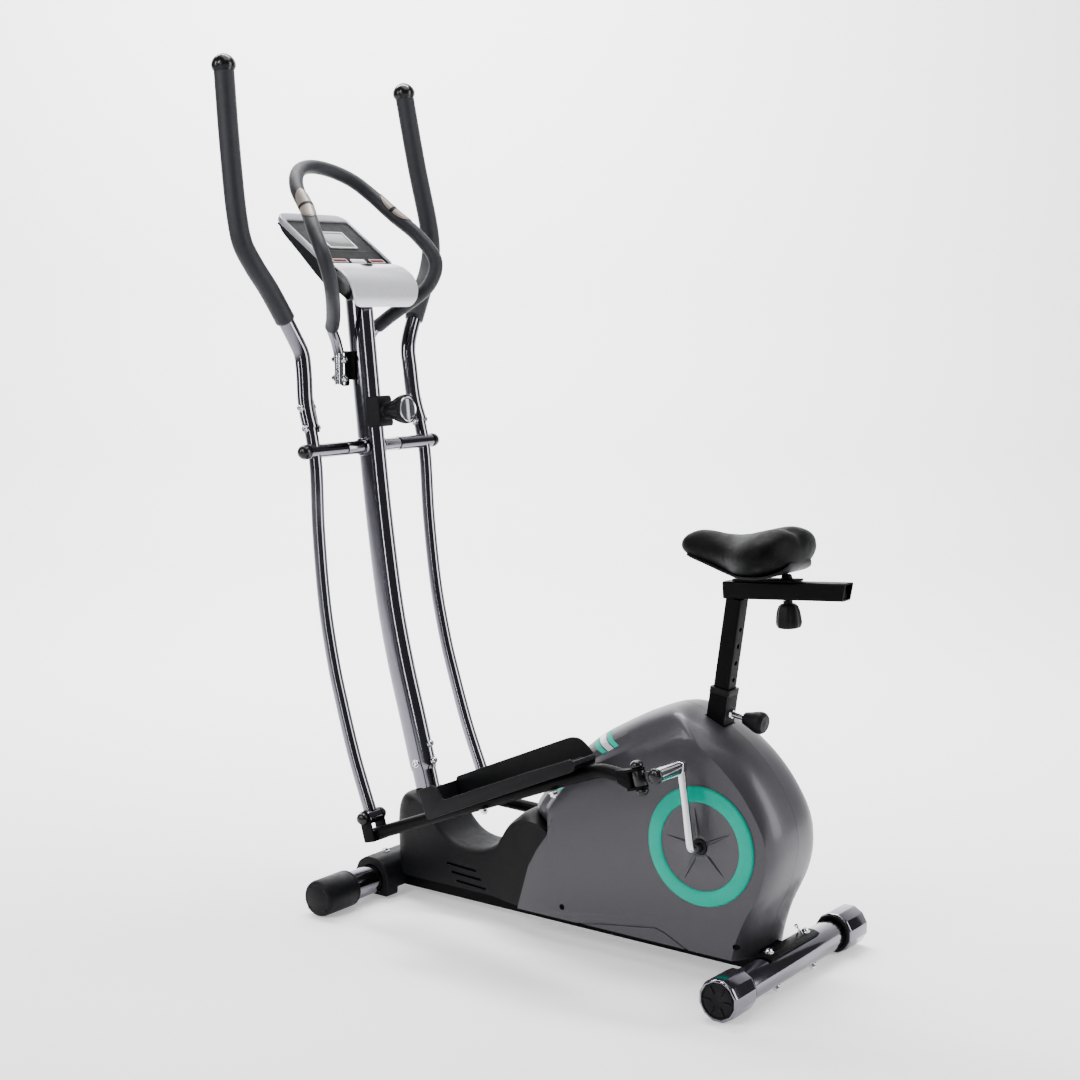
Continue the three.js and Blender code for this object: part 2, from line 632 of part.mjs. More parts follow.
function lowerArm() {
  const tube = pipe(lowerPath, ARM_R - 2.6, ARM_WALL, 10, 10);
  const sleeve = barY(0, 0, 13.5, 79, 179, 20);
  const bush = barY(lowerEnd[0], lowerEnd[1], 14, ARM_Y - BUSH_HALF, ARM_Y + BUSH_HALF, 20);
  return cut(join(tube, sleeve, bush),
    barY(0, 0, AXLE_R + 0.3, 60, 200, 20),
    barY(lowerEnd[0], lowerEnd[1], PIN_R + 0.3, 100, 220, 20));
}

const handleTube = (() => {
  const below = pipe(lowerPath, ARM_R - 2.6 + 0.5, 0, 10, 10);
  const tube = pipe(handlePath, HANDLE_R, ARM_WALL, 10, 16);
  return cut(tube, overlap(below, block(-60, 60, 130, 190, 0, 100)), barY(0, 0, 14.5, 70, 190, 20));
})();

function partOfHandle(from, to) {
  const points = Array.from({ length: 14 }, (_, i) => (
    handlePath.getPointAt(from + ((to - from) * i) / 13)));
  return new THREE.CatmullRomCurve3(points, false, 'centripetal');
}
const GRIP_R = 19;
const gripCurve = partOfHandle(0.335, 0.985);
const foamGrip = cut(pipe(gripCurve, GRIP_R, 0, 12, 12), pipe(handlePath, HANDLE_R + 0.6, 0, 10, 16));
const handleTop = handlePath.getPoint(1);
const handleTangent = handlePath.getTangent(1);
function handleCap() {
  const profile = [[0, -6], [17, -6], [20, -2], [22.5, 5], [22.5, 11], [18, 21], [10, 28], [0, 30]];
  const turn = new THREE.Quaternion().setFromUnitVectors(new THREE.Vector3(0, 0, 1), handleTangent);
  const cap = turnedZ(profile, 16).applyQuaternion(turn)
    .translate(handleTop.x, handleTop.y, handleTop.z);
  return cut(cap, pipe(handlePath, HANDLE_R + 1, 0, 10, 16),
    pipe(gripCurve, GRIP_R + GAP, 0, 12, 12));
}
const arm = lowerArm();
const cap = handleCap();
for (const side of SIDES) {
  const swingArm = new THREE.Group();
  swingArm.position.set(SHAFT.x, 0, SHAFT.z);
  swingArm.rotation.y = leanOf - side.swing;
  trainer.add(swingArm);
  add(`lower_arm_${side.name}`, forSide(side, arm), blackChrome, swingArm);
  add(`upper_handle_${side.name}`, forSide(side, handleTube), blackChrome, swingArm);
  add(`foam_grip_${side.name}`, forSide(side, foamGrip), foam, swingArm);
  add(`handle_cap_${side.name}`, forSide(side, cap), blackPlastic, swingArm);
}

// ---------------------------------------------------------------- pedal links
// Drawn with the link pivot at the origin and the crank pin straight along +X.
const LINK_R = 12;
const FORK = { x: 651, y: 188, half: 13 };
const linkLine = [
  [-2, ARM_Y, -35], [270, 173, -7], [540, 184, 20], [575, 186, 21.5], [612, 187, 14], [628, 188, 11]];
const PEDAL = { x: 214, z: -12, tilt: 7.5, length: 389, inner: 135, outer: 245, wall: 4 };

function linkBody() {
  const tube = pipe(spline(linkLine), LINK_R, ARM_WALL, 10, 10);
  const lobe = [
    [-12, -40], [13, -40], ...circle(0, 0, 13, 8, 0, 180)];
  const cheeks = [[139, 143 - GAP], [177 + GAP, 181]].map(([y0, y1]) => plate(lobe, y0, y1));
  const base = block(-13, 14, 139, 181, -47, -24);
  const clearBush = barY(0, 0, 16, 142.6, 177.4, 20);
  const forkBlock = block(608, 634, 176, 200, -18, 24);
  const forks = [[FORK.half + GAP, FORK.half + 5], [-FORK.half - 5, -FORK.half - GAP]].map(([z0, z1]) => (
    join(block(620, 651, 176, 200, z0, z1), barZ(FORK.x, FORK.y, 12, z0, z1, 16))));
  const pads = [[246, 276], [500, 530]].map(([x0, x1]) => {
    const z = PEDAL.z + 13 * Math.cos(radians(PEDAL.tilt))
      + (x0 - PEDAL.x) * Math.tan(radians(PEDAL.tilt)) - 1.2;
    return block(x0, x1, 150, 205, z - 8, z);
  });
  const whole = join(tube, ...cheeks, base, forkBlock, ...forks, ...pads);
  const drain = barZ(330, 176, 3.5, -30, 0);
  return cut(whole, clearBush, barY(0, 0, PIN_R + 0.3, 100, 220, 20),
    barZ(FORK.x, FORK.y, 4.4, -40, 40, 12), drain);
}

function pivotBolt() {
  const capProfile = [[0, 0], [11, 0], [12, 4], [9, 10], [0, 13.5]];
  const outer = turnedY(capProfile, 16).translate(0, 181.4, 0);
  const inner = turnedY(capProfile, 16).rotateX(Math.PI).translate(0, 138.6, 0);
  return join(barY(0, 0, PIN_R, 138, 182, 16), outer, inner);
}

function yoke() {
  const sleeve = barY(COUPLER, 0, 11, 134, 195, 20);
  const endPlug = barY(COUPLER, 0, 12.5, 192, 201, 20);
  const armBlock = block(FORK.x, COUPLER, 166, 186, -9, 9);
  const eye = barZ(FORK.x, FORK.y, 12, -FORK.half + GAP, FORK.half - GAP, 16);
  return cut(join(sleeve, endPlug, armBlock, eye), barZ(FORK.x, FORK.y, 4.4, -40, 40, 12));
}

function yokeBolt() {
  const capProfile = [[0, 0], [8, 0], [9, 3], [6.5, 8], [0, 10]];
  const top = turnedZ(capProfile, 14).translate(FORK.x, FORK.y, FORK.half + 5.4);
  const bottom = turnedZ(capProfile, 14).rotateX(Math.PI).translate(FORK.x, FORK.y, -FORK.half - 5.4);
  return join(barZ(FORK.x, FORK.y, 4, -FORK.half - 6, FORK.half + 6, 12), top, bottom);
}

function footplate() {
  const { length, inner, outer, wall } = PEDAL;
  const tray = cut(block(0, length, inner, outer, 0, 22),
    block(-1, length + 1, inner + wall, outer - wall, -1, 13),
    block(wall, length - wall, inner + wall, outer - wall, 17, 30));
  const guard = plate([
    [0, 10], [0, 50], [5, 57], [284, 58], [302, 54], [312, 42], [318, 20], [318, 10]],
    inner, inner + wall);
  const toe = plate([[0, 10], [0, 50], [6, 56], [38, 56], [44, 48], [49, 21], [49, 10]],
    outer - wall, outer);
  const front = block(0, wall, inner, outer, 13.5, 52);
  return join(tray, guard, toe, front).rotateY(-radians(PEDAL.tilt)).translate(PEDAL.x, 0, PEDAL.z);
}
const linkParts = {
  link: [linkBody(), blackPaint],
  pivot_bolt: [pivotBolt(), blackPlastic],
  footplate: [footplate(), blackPlastic],
  yoke: [yoke(), chrome],
  yoke_bolt: [yokeBolt(), blackPlastic],
};
for (const side of SIDES) {
  const link = new THREE.Group();
  link.position.set(side.pivot.x, 0, side.pivot.z);
  link.rotation.y = -side.slope;
  trainer.add(link);
  for (const [name, [geometry, look]] of Object.entries(linkParts)) {
    add(`${name}_${side.name}`, forSide(side, geometry), look, link);
  }
}

// ---------------------------------------------------------------- drive train
function crankRod() {
  const pieces = [barY(CRANK.x, CRANK.z, ROD_R, -CRANK_Y, CRANK_Y, 14)];
  for (const side of SIDES) {
    const y = side.sign * CRANK_Y;
    const hub = new THREE.Vector3(CRANK.x, y, CRANK.z);
    const tip = new THREE.Vector3(side.pin.x, y, side.pin.z);
    const end = new THREE.Vector3(side.pin.x, side.sign * CRANK_END_Y, side.pin.z);
    pieces.push(barBetween(hub, tip, ROD_R), barBetween(tip, end, ROD_R),
      ball(hub.x, y, hub.z, ROD_R + 0.3), ball(tip.x, y, tip.z, ROD_R + 0.3));
  }
  return join(...pieces);
}
add('crank_rod', crankRod(), chrome);

const pulleyHub = barY(CRANK.x, CRANK.z, 18, 27, BELT_Y.high + 6, 20);
const pulleyDisc = barY(CRANK.x, CRANK.z, PULLEY_R - 3, 33, 38, 30);
const pulleyRim = cut(barY(CRANK.x, CRANK.z, PULLEY_R, BELT_Y.low, BELT_Y.high, 30),
  barY(CRANK.x, CRANK.z, PULLEY_R - 5, 0, 60, 30));
add('drive_pulley', cut(join(pulleyDisc, pulleyRim, pulleyHub),
  barY(CRANK.x, CRANK.z, ROD_R + GAP, 0, 60, 20)), blackPlastic);

// The belt's outline: two arcs joined by the outer tangents.
function beltLine(grow) {
  const dx = CRANK.x - FLYWHEEL.x;
  const dz = CRANK.z - FLYWHEEL.z;
  const reach = Math.hypot(dx, dz);
  const heading = THREE.MathUtils.radToDeg(Math.atan2(dz, dx));
  const spread = THREE.MathUtils.radToDeg(Math.acos((PULLEY_R - SMALL_PULLEY_R) / reach));
  return [
    ...circle(CRANK.x, CRANK.z, PULLEY_R + grow, 24, heading - 180 + spread, heading + 180 - spread),
    ...circle(FLYWHEEL.x, FLYWHEEL.z, SMALL_PULLEY_R + grow, 10,
      heading + 180 - spread, heading + 180 + spread)];
}
add('drive_belt', plate(beltLine(3.2), BELT_Y.low + 2, BELT_Y.high - 2,
  [beltLine(GAP).reverse()]), beltRubber);

add('flywheel', join(
  barY(FLYWHEEL.x, FLYWHEEL.z, FLYWHEEL.r, FLYWHEEL.low, FLYWHEEL.high, 32),
  barY(FLYWHEEL.x, FLYWHEEL.z, 6, -34, 48, 14),
  barY(FLYWHEEL.x, FLYWHEEL.z, SMALL_PULLEY_R, BELT_Y.low, BELT_Y.high, 24)), castIron);

function magnetBracket() {
  const arc = plate([
    ...circle(FLYWHEEL.x, FLYWHEEL.z, 95, 14, 80, 195),
    ...circle(FLYWHEEL.x, FLYWHEEL.z, 101, 14, 80, 195).reverse()], -20, 12);
  const ears = [[4.6, 12], [-20, -4.6]].map(([y0, y1]) => join(
    barY(BRAKE.x, BRAKE.z, 10, y0, y1, 16), block(BRAKE.x, 80, y0, y1, BRAKE.z - 6, BRAKE.z + 8)));
  return cut(join(arc, ...ears), barY(BRAKE.x, BRAKE.z, 5.4, -60, 60, 16));
}
add('magnet_bracket', magnetBracket(), castIron);

// ---------------------------------------------------------------- seat
const slideTurn = -radians(SLIDE_TILT);
const SLIDE_FRONT = new THREE.Vector3(367, 0, 670);
const KNOB_X = 118;                    // along the slide from its front end
const CLAMP_X = 59;
const SLIDE_LENGTH = 233.8;
function onSlide(geometry) {
  return geometry.rotateY(slideTurn).translate(SLIDE_FRONT.x, 0, SLIDE_FRONT.z);
}

function seatPost() {
  const half = SEAT_TUBE / 2;
  const tube = cut(block(0, SLIDE_LENGTH, -half, half, -half, half),
    block(-1, SLIDE_LENGTH + 1, 2.5 - half, half - 2.5, 2.5 - half, half - 2.5),
    block(KNOB_X - 48, KNOB_X + 48, -5, 5, -30, 30));
  const slide = onSlide(tube);
  const upright = seatTube(SEAT_TUBE, 2.5, -150, 164);
  return join(upright, slide);
}
add('seat_post', seatPost(), blackPaint);

function saddleCarriage() {
  const top = SEAT_TUBE / 2 + GAP;
  const bar = block(CLAMP_X - 40, KNOB_X + 24, -14, 14, top, top + 4);
  const stem = barZ(CLAMP_X, 0, 11, top + 3, top + 24, 16);
  const clamp = block(CLAMP_X - 16, CLAMP_X + 16, -24, 24, top + 10, top + 24);
  const nub = barZ(KNOB_X, 0, 9, top + 3, top + 11, 12);
  const stud = barZ(KNOB_X, 0, 4, -SEAT_TUBE / 2 - 9, top + 5, 12);
  return onSlide(join(bar, stem, clamp, nub, stud));
}
add('saddle_clamp', saddleCarriage(), blackPaint);

const slideKnob = onSlide(cut(turnedZ([
  [0, -64], [15, -64], [21, -61], [22.5, -56], [20, -34], [15, -24], [8, -21], [8, -17], [0, -17]], 20),
  barZ(0, 0, 4.4, -27, 0, 12)).translate(KNOB_X, 0, 0));
add('slide_knob', slideKnob, blackPlastic);

const pullTurn = new THREE.Vector3(Math.cos(seatTurn), 0, -Math.sin(seatTurn));
const heightKnob = turnedZ([
  [0, 0], [5, 0], [5, 15], [9, 18], [13, 26], [19, 40], [20, 46], [18, 51], [0, 52]], 18)
  .rotateY(Math.PI / 2 + seatTurn)
  .translate(SEAT_FOOT.x + seatAxis.x * -45 + pullTurn.x * (SOCKET_TUBE / 2 + GAP), 0,
    SEAT_FOOT.z + seatAxis.z * -45 + pullTurn.z * (SOCKET_TUBE / 2 + GAP));
add('height_knob', heightKnob, blackPlastic);

const SADDLE = { nose: 272, tail: 512, z: 726 };
function saddle() {
  // Half widths and heights along the saddle, from nose to tail.
  const ribs = [
    [0, 8, 734, 742], [12, 22, 722, 755], [45, 28, 712, 757], [90, 38, 700, 754],
    [130, 62, 696, 757], [165, 86, 698, 770], [200, 98, 706, 783], [225, 84, 718, 785],
    [240, 50, 735, 774]];
  const sections = ribs.map(([along, half, low, high]) => {
    const middle = (low + high) / 2;
    return circle(0, 0, 1, 12).map(([c, s]) => [
      SADDLE.nose + along, half * c, middle + ((high - low) / 2) * s]);
  });
  return loftAlongX(sections);
}

// The same skin as loft(), with end caps that face along X.
function loftAlongX(sections) {
  const turned = sections.map((section) => section.map(([x, y, z]) => [y, x, z]));
  const made = loft(turned);
  const position = made.attributes.position;
  for (let i = 0; i < position.count; i += 1) {
    position.setXYZ(i, position.getY(i), position.getX(i), position.getZ(i));
  }
  return solid(made).volume() < 0 ? flipped(made) : made;
}
const saddleClear = onSlide(block(CLAMP_X - 60, KNOB_X + 40, -30, 30, -20, SEAT_TUBE / 2 + 25));
add('saddle', cut(saddle(), saddleClear), leatherette);

export default trainer;
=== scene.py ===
"""Looks for a seated elliptical trainer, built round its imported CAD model.

Lengths are in millimetres in the part's frame until piece() turns them into metres: X runs from
the console to the seat, +Y is the rider's right and Z is up.
"""

from math import atan2, copysign, cos, degrees, exp, hypot, pi, radians, sin, sqrt, tan

import bmesh
import bpy
from mathutils import Matrix, Vector


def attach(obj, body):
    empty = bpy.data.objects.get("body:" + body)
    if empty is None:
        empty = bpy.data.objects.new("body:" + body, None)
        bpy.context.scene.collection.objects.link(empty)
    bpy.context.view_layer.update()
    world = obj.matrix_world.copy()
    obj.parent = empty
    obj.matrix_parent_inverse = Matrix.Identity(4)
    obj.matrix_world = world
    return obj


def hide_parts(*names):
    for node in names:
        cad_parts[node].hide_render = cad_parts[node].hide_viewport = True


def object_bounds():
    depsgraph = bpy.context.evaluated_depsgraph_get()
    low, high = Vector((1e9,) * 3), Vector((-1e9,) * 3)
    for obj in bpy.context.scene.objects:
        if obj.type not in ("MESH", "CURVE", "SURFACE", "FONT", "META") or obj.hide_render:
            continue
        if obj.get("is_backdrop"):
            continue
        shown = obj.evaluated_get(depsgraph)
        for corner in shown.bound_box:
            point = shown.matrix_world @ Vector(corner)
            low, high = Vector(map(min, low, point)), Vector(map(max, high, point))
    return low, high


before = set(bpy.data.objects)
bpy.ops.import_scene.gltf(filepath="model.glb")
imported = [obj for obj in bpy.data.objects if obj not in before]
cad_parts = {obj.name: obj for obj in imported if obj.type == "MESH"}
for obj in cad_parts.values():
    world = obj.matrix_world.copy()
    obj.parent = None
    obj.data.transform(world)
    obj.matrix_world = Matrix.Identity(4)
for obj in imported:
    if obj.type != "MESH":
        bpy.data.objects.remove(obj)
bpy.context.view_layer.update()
MM = 0.001
SIDES = {"left": -1, "right": 1}


# ---- materials
def set_inputs(node, **values):
    """Fills a node's inputs; an underscore stands for a space."""
    for name, value in values.items():
        node.inputs[name.replace("_", " ")].default_value = value


def material(name, color, rough, metal=0.0, vary=0.06, spots=25.0, rough_vary=0.05,
             grain=0.0, grain_scale=900.0, cells=False, coat=0.0, shine=0.5):
    """A moulded or coated surface: slight colour and gloss variation, and a fine grain."""
    mat = bpy.data.materials.new(name)
    mat.use_nodes = True
    nodes, links = mat.node_tree.nodes, mat.node_tree.links
    shader = nodes["Principled BSDF"]
    set_inputs(shader, Metallic=metal, Coat_Weight=coat, Coat_Roughness=0.12,
               Specular_IOR_Level=shine)
    place = nodes.new("ShaderNodeTexCoord").outputs["Object"]

    def noise(scale, detail=3.0):
        node = nodes.new("ShaderNodeTexNoise")
        set_inputs(node, Scale=scale, Detail=detail)
        links.new(place, node.inputs["Vector"])
        return node.outputs["Fac"]

    tint = nodes.new("ShaderNodeValToRGB")
    tint.color_ramp.elements[0].position = 0.3
    tint.color_ramp.elements[1].position = 0.7
    for element, share in zip(tint.color_ramp.elements, (1 - vary, 1 + vary)):
        element.color = [min(1.0, c * share) for c in color] + [1.0]
    links.new(noise(spots), tint.inputs["Fac"])
    links.new(tint.outputs["Color"], shader.inputs["Base Color"])

    gloss = nodes.new("ShaderNodeMapRange")
    set_inputs(gloss, From_Min=0.3, From_Max=0.7, To_Min=max(0.02, rough - rough_vary),
               To_Max=rough + rough_vary)
    links.new(noise(spots * 3.1, 5.0), gloss.inputs["Value"])
    links.new(gloss.outputs["Result"], shader.inputs["Roughness"])

    if grain:
        bump = nodes.new("ShaderNodeBump")
        set_inputs(bump, Strength=grain, Distance=0.0006)
        if cells:
            pattern = nodes.new("ShaderNodeTexVoronoi")
            pattern.feature = "SMOOTH_F1"
            set_inputs(pattern, Scale=grain_scale)
            links.new(place, pattern.inputs["Vector"])
            height = pattern.outputs["Distance"]
        else:
            height = noise(grain_scale, 2.0)
        links.new(height, bump.inputs["Height"])
        links.new(bump.outputs["Normal"], shader.inputs["Normal"])
    return mat


LOOKS = {
    "black_chrome": material("smoked_chrome", (0.17, 0.165, 0.19), 0.1, 1.0, vary=0.08,
                             spots=9, rough_vary=0.02),
    "black_paint": material("black_powder_coat", (0.0015, 0.0015, 0.0018), 0.42, 0.0, vary=0.1,
                            grain=0.2, grain_scale=700, shine=0.05),
    "chrome": material("bright_chrome", (0.62, 0.62, 0.65), 0.1, 1.0, vary=0.04, rough_vary=0.03),
    "black_plastic": material("moulded_black", (0.0042, 0.0042, 0.005), 0.48, vary=0.12,
                              grain=0.2, grain_scale=1400, shine=0.1),
    "gloss_black": material("gloss_black", (0.004, 0.004, 0.005), 0.2, vary=0.1, rough_vary=0.03,
                            shine=0.3),
    "grey_plastic": material("metallic_grey", (0.036, 0.034, 0.041), 0.42, 0.45, vary=0.05,
                             spots=260, grain=0.05, grain_scale=900, coat=0.12),
    "disc_grey": material("side_disc_grey", (0.036, 0.034, 0.041), 0.42, 0.4, vary=0.05,
                          spots=260, grain=0.05, coat=0.2),
    "teal_plastic": material("teal_gloss", (0.0, 0.3, 0.215), 0.4, vary=0.04, shine=0.06),
    "silver_plastic": material("satin_silver", (0.6, 0.6, 0.65), 0.3, 0.5, vary=0.04,
                               spots=300, coat=0.2),
    # A darker copy of the satin silver: painted shade for the console's brow and side rails.
    "shaded_silver": material("shaded_silver", (0.25, 0.25, 0.28), 0.3, 0.5, vary=0.04, spots=300,
                           coat=0.2),
    "foam": material("foam_sleeve", (0.0075, 0.0078, 0.0115), 0.5, vary=0.12, spots=60,
                     grain=0.45, grain_scale=1300, cells=True, shine=0.28),
    "leatherette": material("black_leatherette", (0.002, 0.002, 0.0024), 0.5, vary=0.15,
                            grain=0.45, grain_scale=620, cells=True, shine=0.05),
    "lens": material("display_window", (0.16, 0.175, 0.165), 0.12, vary=0.05, coat=0.6),
    "cast_iron": material("grey_iron", (0.12, 0.12, 0.125), 0.45, 0.85, vary=0.15, grain=0.3),
    "belt_rubber": material("belt_rubber", (0.01, 0.01, 0.01), 0.7, grain=0.5, shine=0.3),
    "sensor": material("sensor_plate", (0.17, 0.142, 0.122), 0.42, 0.3, vary=0.05),
    "red_print": material("red_print", (0.5, 0.02, 0.015), 0.35, vary=0.05),
    "white_print": material("white_print", (0.6, 0.6, 0.6), 0.4, vary=0.04),
    # Near black: painted shade that stands in for the darkness of recesses and grooves.
    "recess": material("painted_dark_shade", (0.003, 0.003, 0.004), 0.6, vary=0.1, shine=0.2),
}


# ---- mesh helpers
def show(name, data):
    """A new object, linked to the scene."""
    obj = bpy.data.objects.new(name, data)
    bpy.context.scene.collection.objects.link(obj)
    return obj


def shown_mesh(name, mesh):
    """The same for a bmesh, which is used up."""
    data = bpy.data.meshes.new(name)
    mesh.to_mesh(data)
    mesh.free()
    return show(name, data)


def piece(name, mesh, body, look, stands_for=(), bevel=0.0, cuts=2, sharp=40, place=None):
    """Turns a bmesh in millimetres into a shown piece that rides on a body."""
    mesh.transform((Matrix.Scale(MM, 4)) @ (place or Matrix()))
    bmesh.ops.remove_doubles(mesh, verts=mesh.verts, dist=1e-6)
    bmesh.ops.recalc_face_normals(mesh, faces=mesh.faces)
    obj = shown_mesh(name, mesh)
    if bevel:
        edge = obj.modifiers.new("edges", "BEVEL")
        edge.width = bevel * MM
        edge.segments = cuts
        edge.limit_method = "ANGLE"
        edge.angle_limit = radians(sharp)
        edge.use_clamp_overlap = True
    bake(obj)
    shade(obj, sharp)
    finish_piece(obj, body, look, stands_for)
    return obj


def bake(obj):
    """Applies every modifier."""
    graph = bpy.context.evaluated_depsgraph_get()
    done = bpy.data.meshes.new_from_object(obj.evaluated_get(graph))
    obj.modifiers.clear()
    obj.data = done


def shade(obj, sharp):
    obj.data.polygons.foreach_set("use_smooth", [True] * len(obj.data.polygons))
    obj.data.set_sharp_from_angle(angle=radians(sharp))
    obj.data.update()


def finish_piece(obj, body, look, stands_for):
    obj.data.materials.clear()
    obj.data.materials.append(LOOKS[look])
    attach(obj, body)
    if stands_for:
        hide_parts(*stands_for)


def side_pieces(side, body, place=None, mirror=True):
    """A piece() for one side, whose names end in the side. A left mesh can be mirrored first."""
    def put(name, mesh, look, stands_for="", **options):
        part = [f"{stands_for}_{side}"] if stands_for else ()
        mesh = mirrored(mesh, SIDES[side]) if mirror else mesh
        return piece(f"{name}_{side}", mesh, body, look, part, place=place, **options)
    return put


def carve(obj, *tools, sharp=40):
    """Cuts tool meshes (in millimetres) out of a piece."""
    for tool in tools:
        tool.transform(Matrix.Scale(MM, 4))
        bmesh.ops.recalc_face_normals(tool, faces=tool.faces)
        cutter = shown_mesh("tool", tool)
        cut = obj.modifiers.new("cut", "BOOLEAN")
        cut.operation = "DIFFERENCE"
        cut.solver = "EXACT"
        cut.object = cutter
        bake(obj)
        bpy.data.objects.remove(cutter)
    shade(obj, sharp)


def both(*meshes):
    """Several meshes as one."""
    whole = bmesh.new()
    for mesh in meshes:
        data = bpy.data.meshes.new("part")
        mesh.to_mesh(data)
        mesh.free()
        whole.from_mesh(data)
        bpy.data.meshes.remove(data)
    return whole


def mirrored(mesh, sign):
    if sign < 0:
        mesh.transform(Matrix.Scale(-1, 4, (0, 1, 0)))
        bmesh.ops.reverse_faces(mesh, faces=mesh.faces)
    return mesh


def moved(mesh, matrix):
    mesh.transform(matrix)
    return mesh


def shift(x, y, z):
    return Matrix.Translation((x, y, z))


def spin(degrees, axis):
    return Matrix.Rotation(radians(degrees), 4, axis)


def skin(rings):
    """Quads through rings that hold the same number of points, closed at both ends."""
    mesh = bmesh.new()
    rows = [[mesh.verts.new(p) for p in ring] for ring in rings]
    count = len(rows[0])
    for low, high in zip(rows, rows[1:]):
        for i in range(count):
            j = (i + 1) % count
            mesh.faces.new((low[i], low[j], high[j], high[i]))
    mesh.faces.new(list(reversed(rows[0])))
    mesh.faces.new(rows[-1])
    return mesh


def lathe(profile, sides):
    """[radius, height] pairs turned about Z."""
    mesh = bmesh.new()
    turns = [(cos(2 * pi * i / sides), sin(2 * pi * i / sides)) for i in range(sides)]
    rows = []
    for radius, height in profile:
        if radius < 1e-6:
            rows.append([mesh.verts.new((0, 0, height))] * sides)
        else:
            rows.append([mesh.verts.new((radius * c, radius * s, height)) for c, s in turns])
    for low, high in zip(rows, rows[1:]):
        for i in range(sides):
            j = (i + 1) % sides
            corners = dict.fromkeys((low[i], low[j], high[j], high[i]))
            if len(corners) > 2:
                mesh.faces.new(corners)
    return mesh


def along_y(mesh, x, z, start=0.0, way=1):
    """Lays a lathe's axis along Y (way = 1) or -Y (way = -1), starting at y = start."""
    mesh.transform(shift(x, start, z) @ spin(-90 * way, "X"))
    return mesh


def aimed(mesh, start, way):
    """Moves a lathe so that its axis runs from start along way."""
    turn = Vector((0, 0, 1)).rotation_difference(Vector(way)).to_matrix().to_4x4()
    mesh.transform(Matrix.Translation(start) @ turn)
    return mesh


def bar(radius, length, edge, sides):
    """A round bar along Z with eased ends."""
    ease = edge * 0.3
    return lathe([(0, 0), (radius - edge, 0), (radius - ease, ease), (radius, edge),
                  (radius, length - edge), (radius - ease, length - ease), (radius - edge, length),
                  (0, length)], sides)


def cylinder(radius, height, sides):
    return lathe([(0, 0), (radius, 0), (radius, height), (0, height)], sides)


def box(x0, x1, y0, y1, z0, z1):
    mesh = bmesh.new()
    bmesh.ops.create_cube(mesh, size=1)
    size = Matrix.Diagonal((x1 - x0, y1 - y0, z1 - z0, 1))
    mesh.transform(shift((x0 + x1) / 2, (y0 + y1) / 2, (z0 + z1) / 2) @ size)
    return mesh


def smooth_path(points, count):
    """Points at even spacing on a centripetal Catmull-Rom curve through the given ones."""
    pts = [Vector(p) for p in points]
    pts = [pts[0] * 2 - pts[1]] + pts + [pts[-1] * 2 - pts[-2]]
    fine = []
    for a, b, c, d in zip(pts, pts[1:], pts[2:], pts[3:]):
        t = [0.0]
        for p, q in ((a, b), (b, c), (c, d)):
            t.append(t[-1] + max(1e-6, (q - p).length ** 0.5))
        for i in range(24):
            s = t[1] + (t[2] - t[1]) * i / 24
            ab = a.lerp(b, (s - t[0]) / (t[1] - t[0]))
            bc = b.lerp(c, (s - t[1]) / (t[2] - t[1]))
            cd = c.lerp(d, (s - t[2]) / (t[3] - t[2]))
            abc = ab.lerp(bc, (s - t[0]) / (t[2] - t[0]))
            bcd = bc.lerp(cd, (s - t[1]) / (t[3] - t[1]))
            fine.append(abc.lerp(bcd, (s - t[1]) / (t[2] - t[1])))
    fine.append(pts[-2])
    lengths = [0.0]
    for p, q in zip(fine, fine[1:]):
        lengths.append(lengths[-1] + (q - p).length)
    even, k = [], 0
    for i in range(count + 1):
        want = lengths[-1] * i / count
        while k < len(fine) - 2 and lengths[k + 1] < want:
            k += 1
        share = (want - lengths[k]) / max(1e-9, lengths[k + 1] - lengths[k])
        even.append(fine[k].lerp(fine[k + 1], min(1.0, share)))
    return even


def sweep(path, radius, sides, up=None):
    """A tube along a path. radius is a number, or a function of (share, turn) -> (u, v)."""
    across = Vector(up) if up else None
    path = [Vector(point) for point in path]
    rings = []
    for i, point in enumerate(path):
        ahead = path[min(i + 1, len(path) - 1)] - path[max(i - 1, 0)]
        ahead.normalize()
        if across is None:
            across = ahead.orthogonal()
        across = (across - ahead * across.dot(ahead)).normalized()
        other = ahead.cross(across)
        share = i / (len(path) - 1)
        ring = []
        for k in range(sides):
            turn = 2 * pi * k / sides
            if callable(radius):
                u, v = radius(share, turn)
            else:
                u, v = radius * cos(turn), radius * sin(turn)
            ring.append(point + across * u + other * v)
        rings.append(ring)
    return skin(rings)


def oval(depth, width):
    return lambda share, turn: (depth * cos(turn), width * sin(turn))


def bent_rod(corners, radius, bend):
    """A round rod through corner points, with each corner bent at a radius."""
    pts = [Vector(c) for c in corners]
    path = [pts[0]]
    for before, corner, after in zip(pts, pts[1:], pts[2:]):
        start = corner + (before - corner).normalized() * bend
        end = corner + (after - corner).normalized() * bend
        for i in range(9):
            t = i / 8
            path.append(start * (1 - t) ** 2 + corner * 2 * t * (1 - t) + end * t * t)
    path.append(pts[-1])
    return sweep(path, radius, 28)


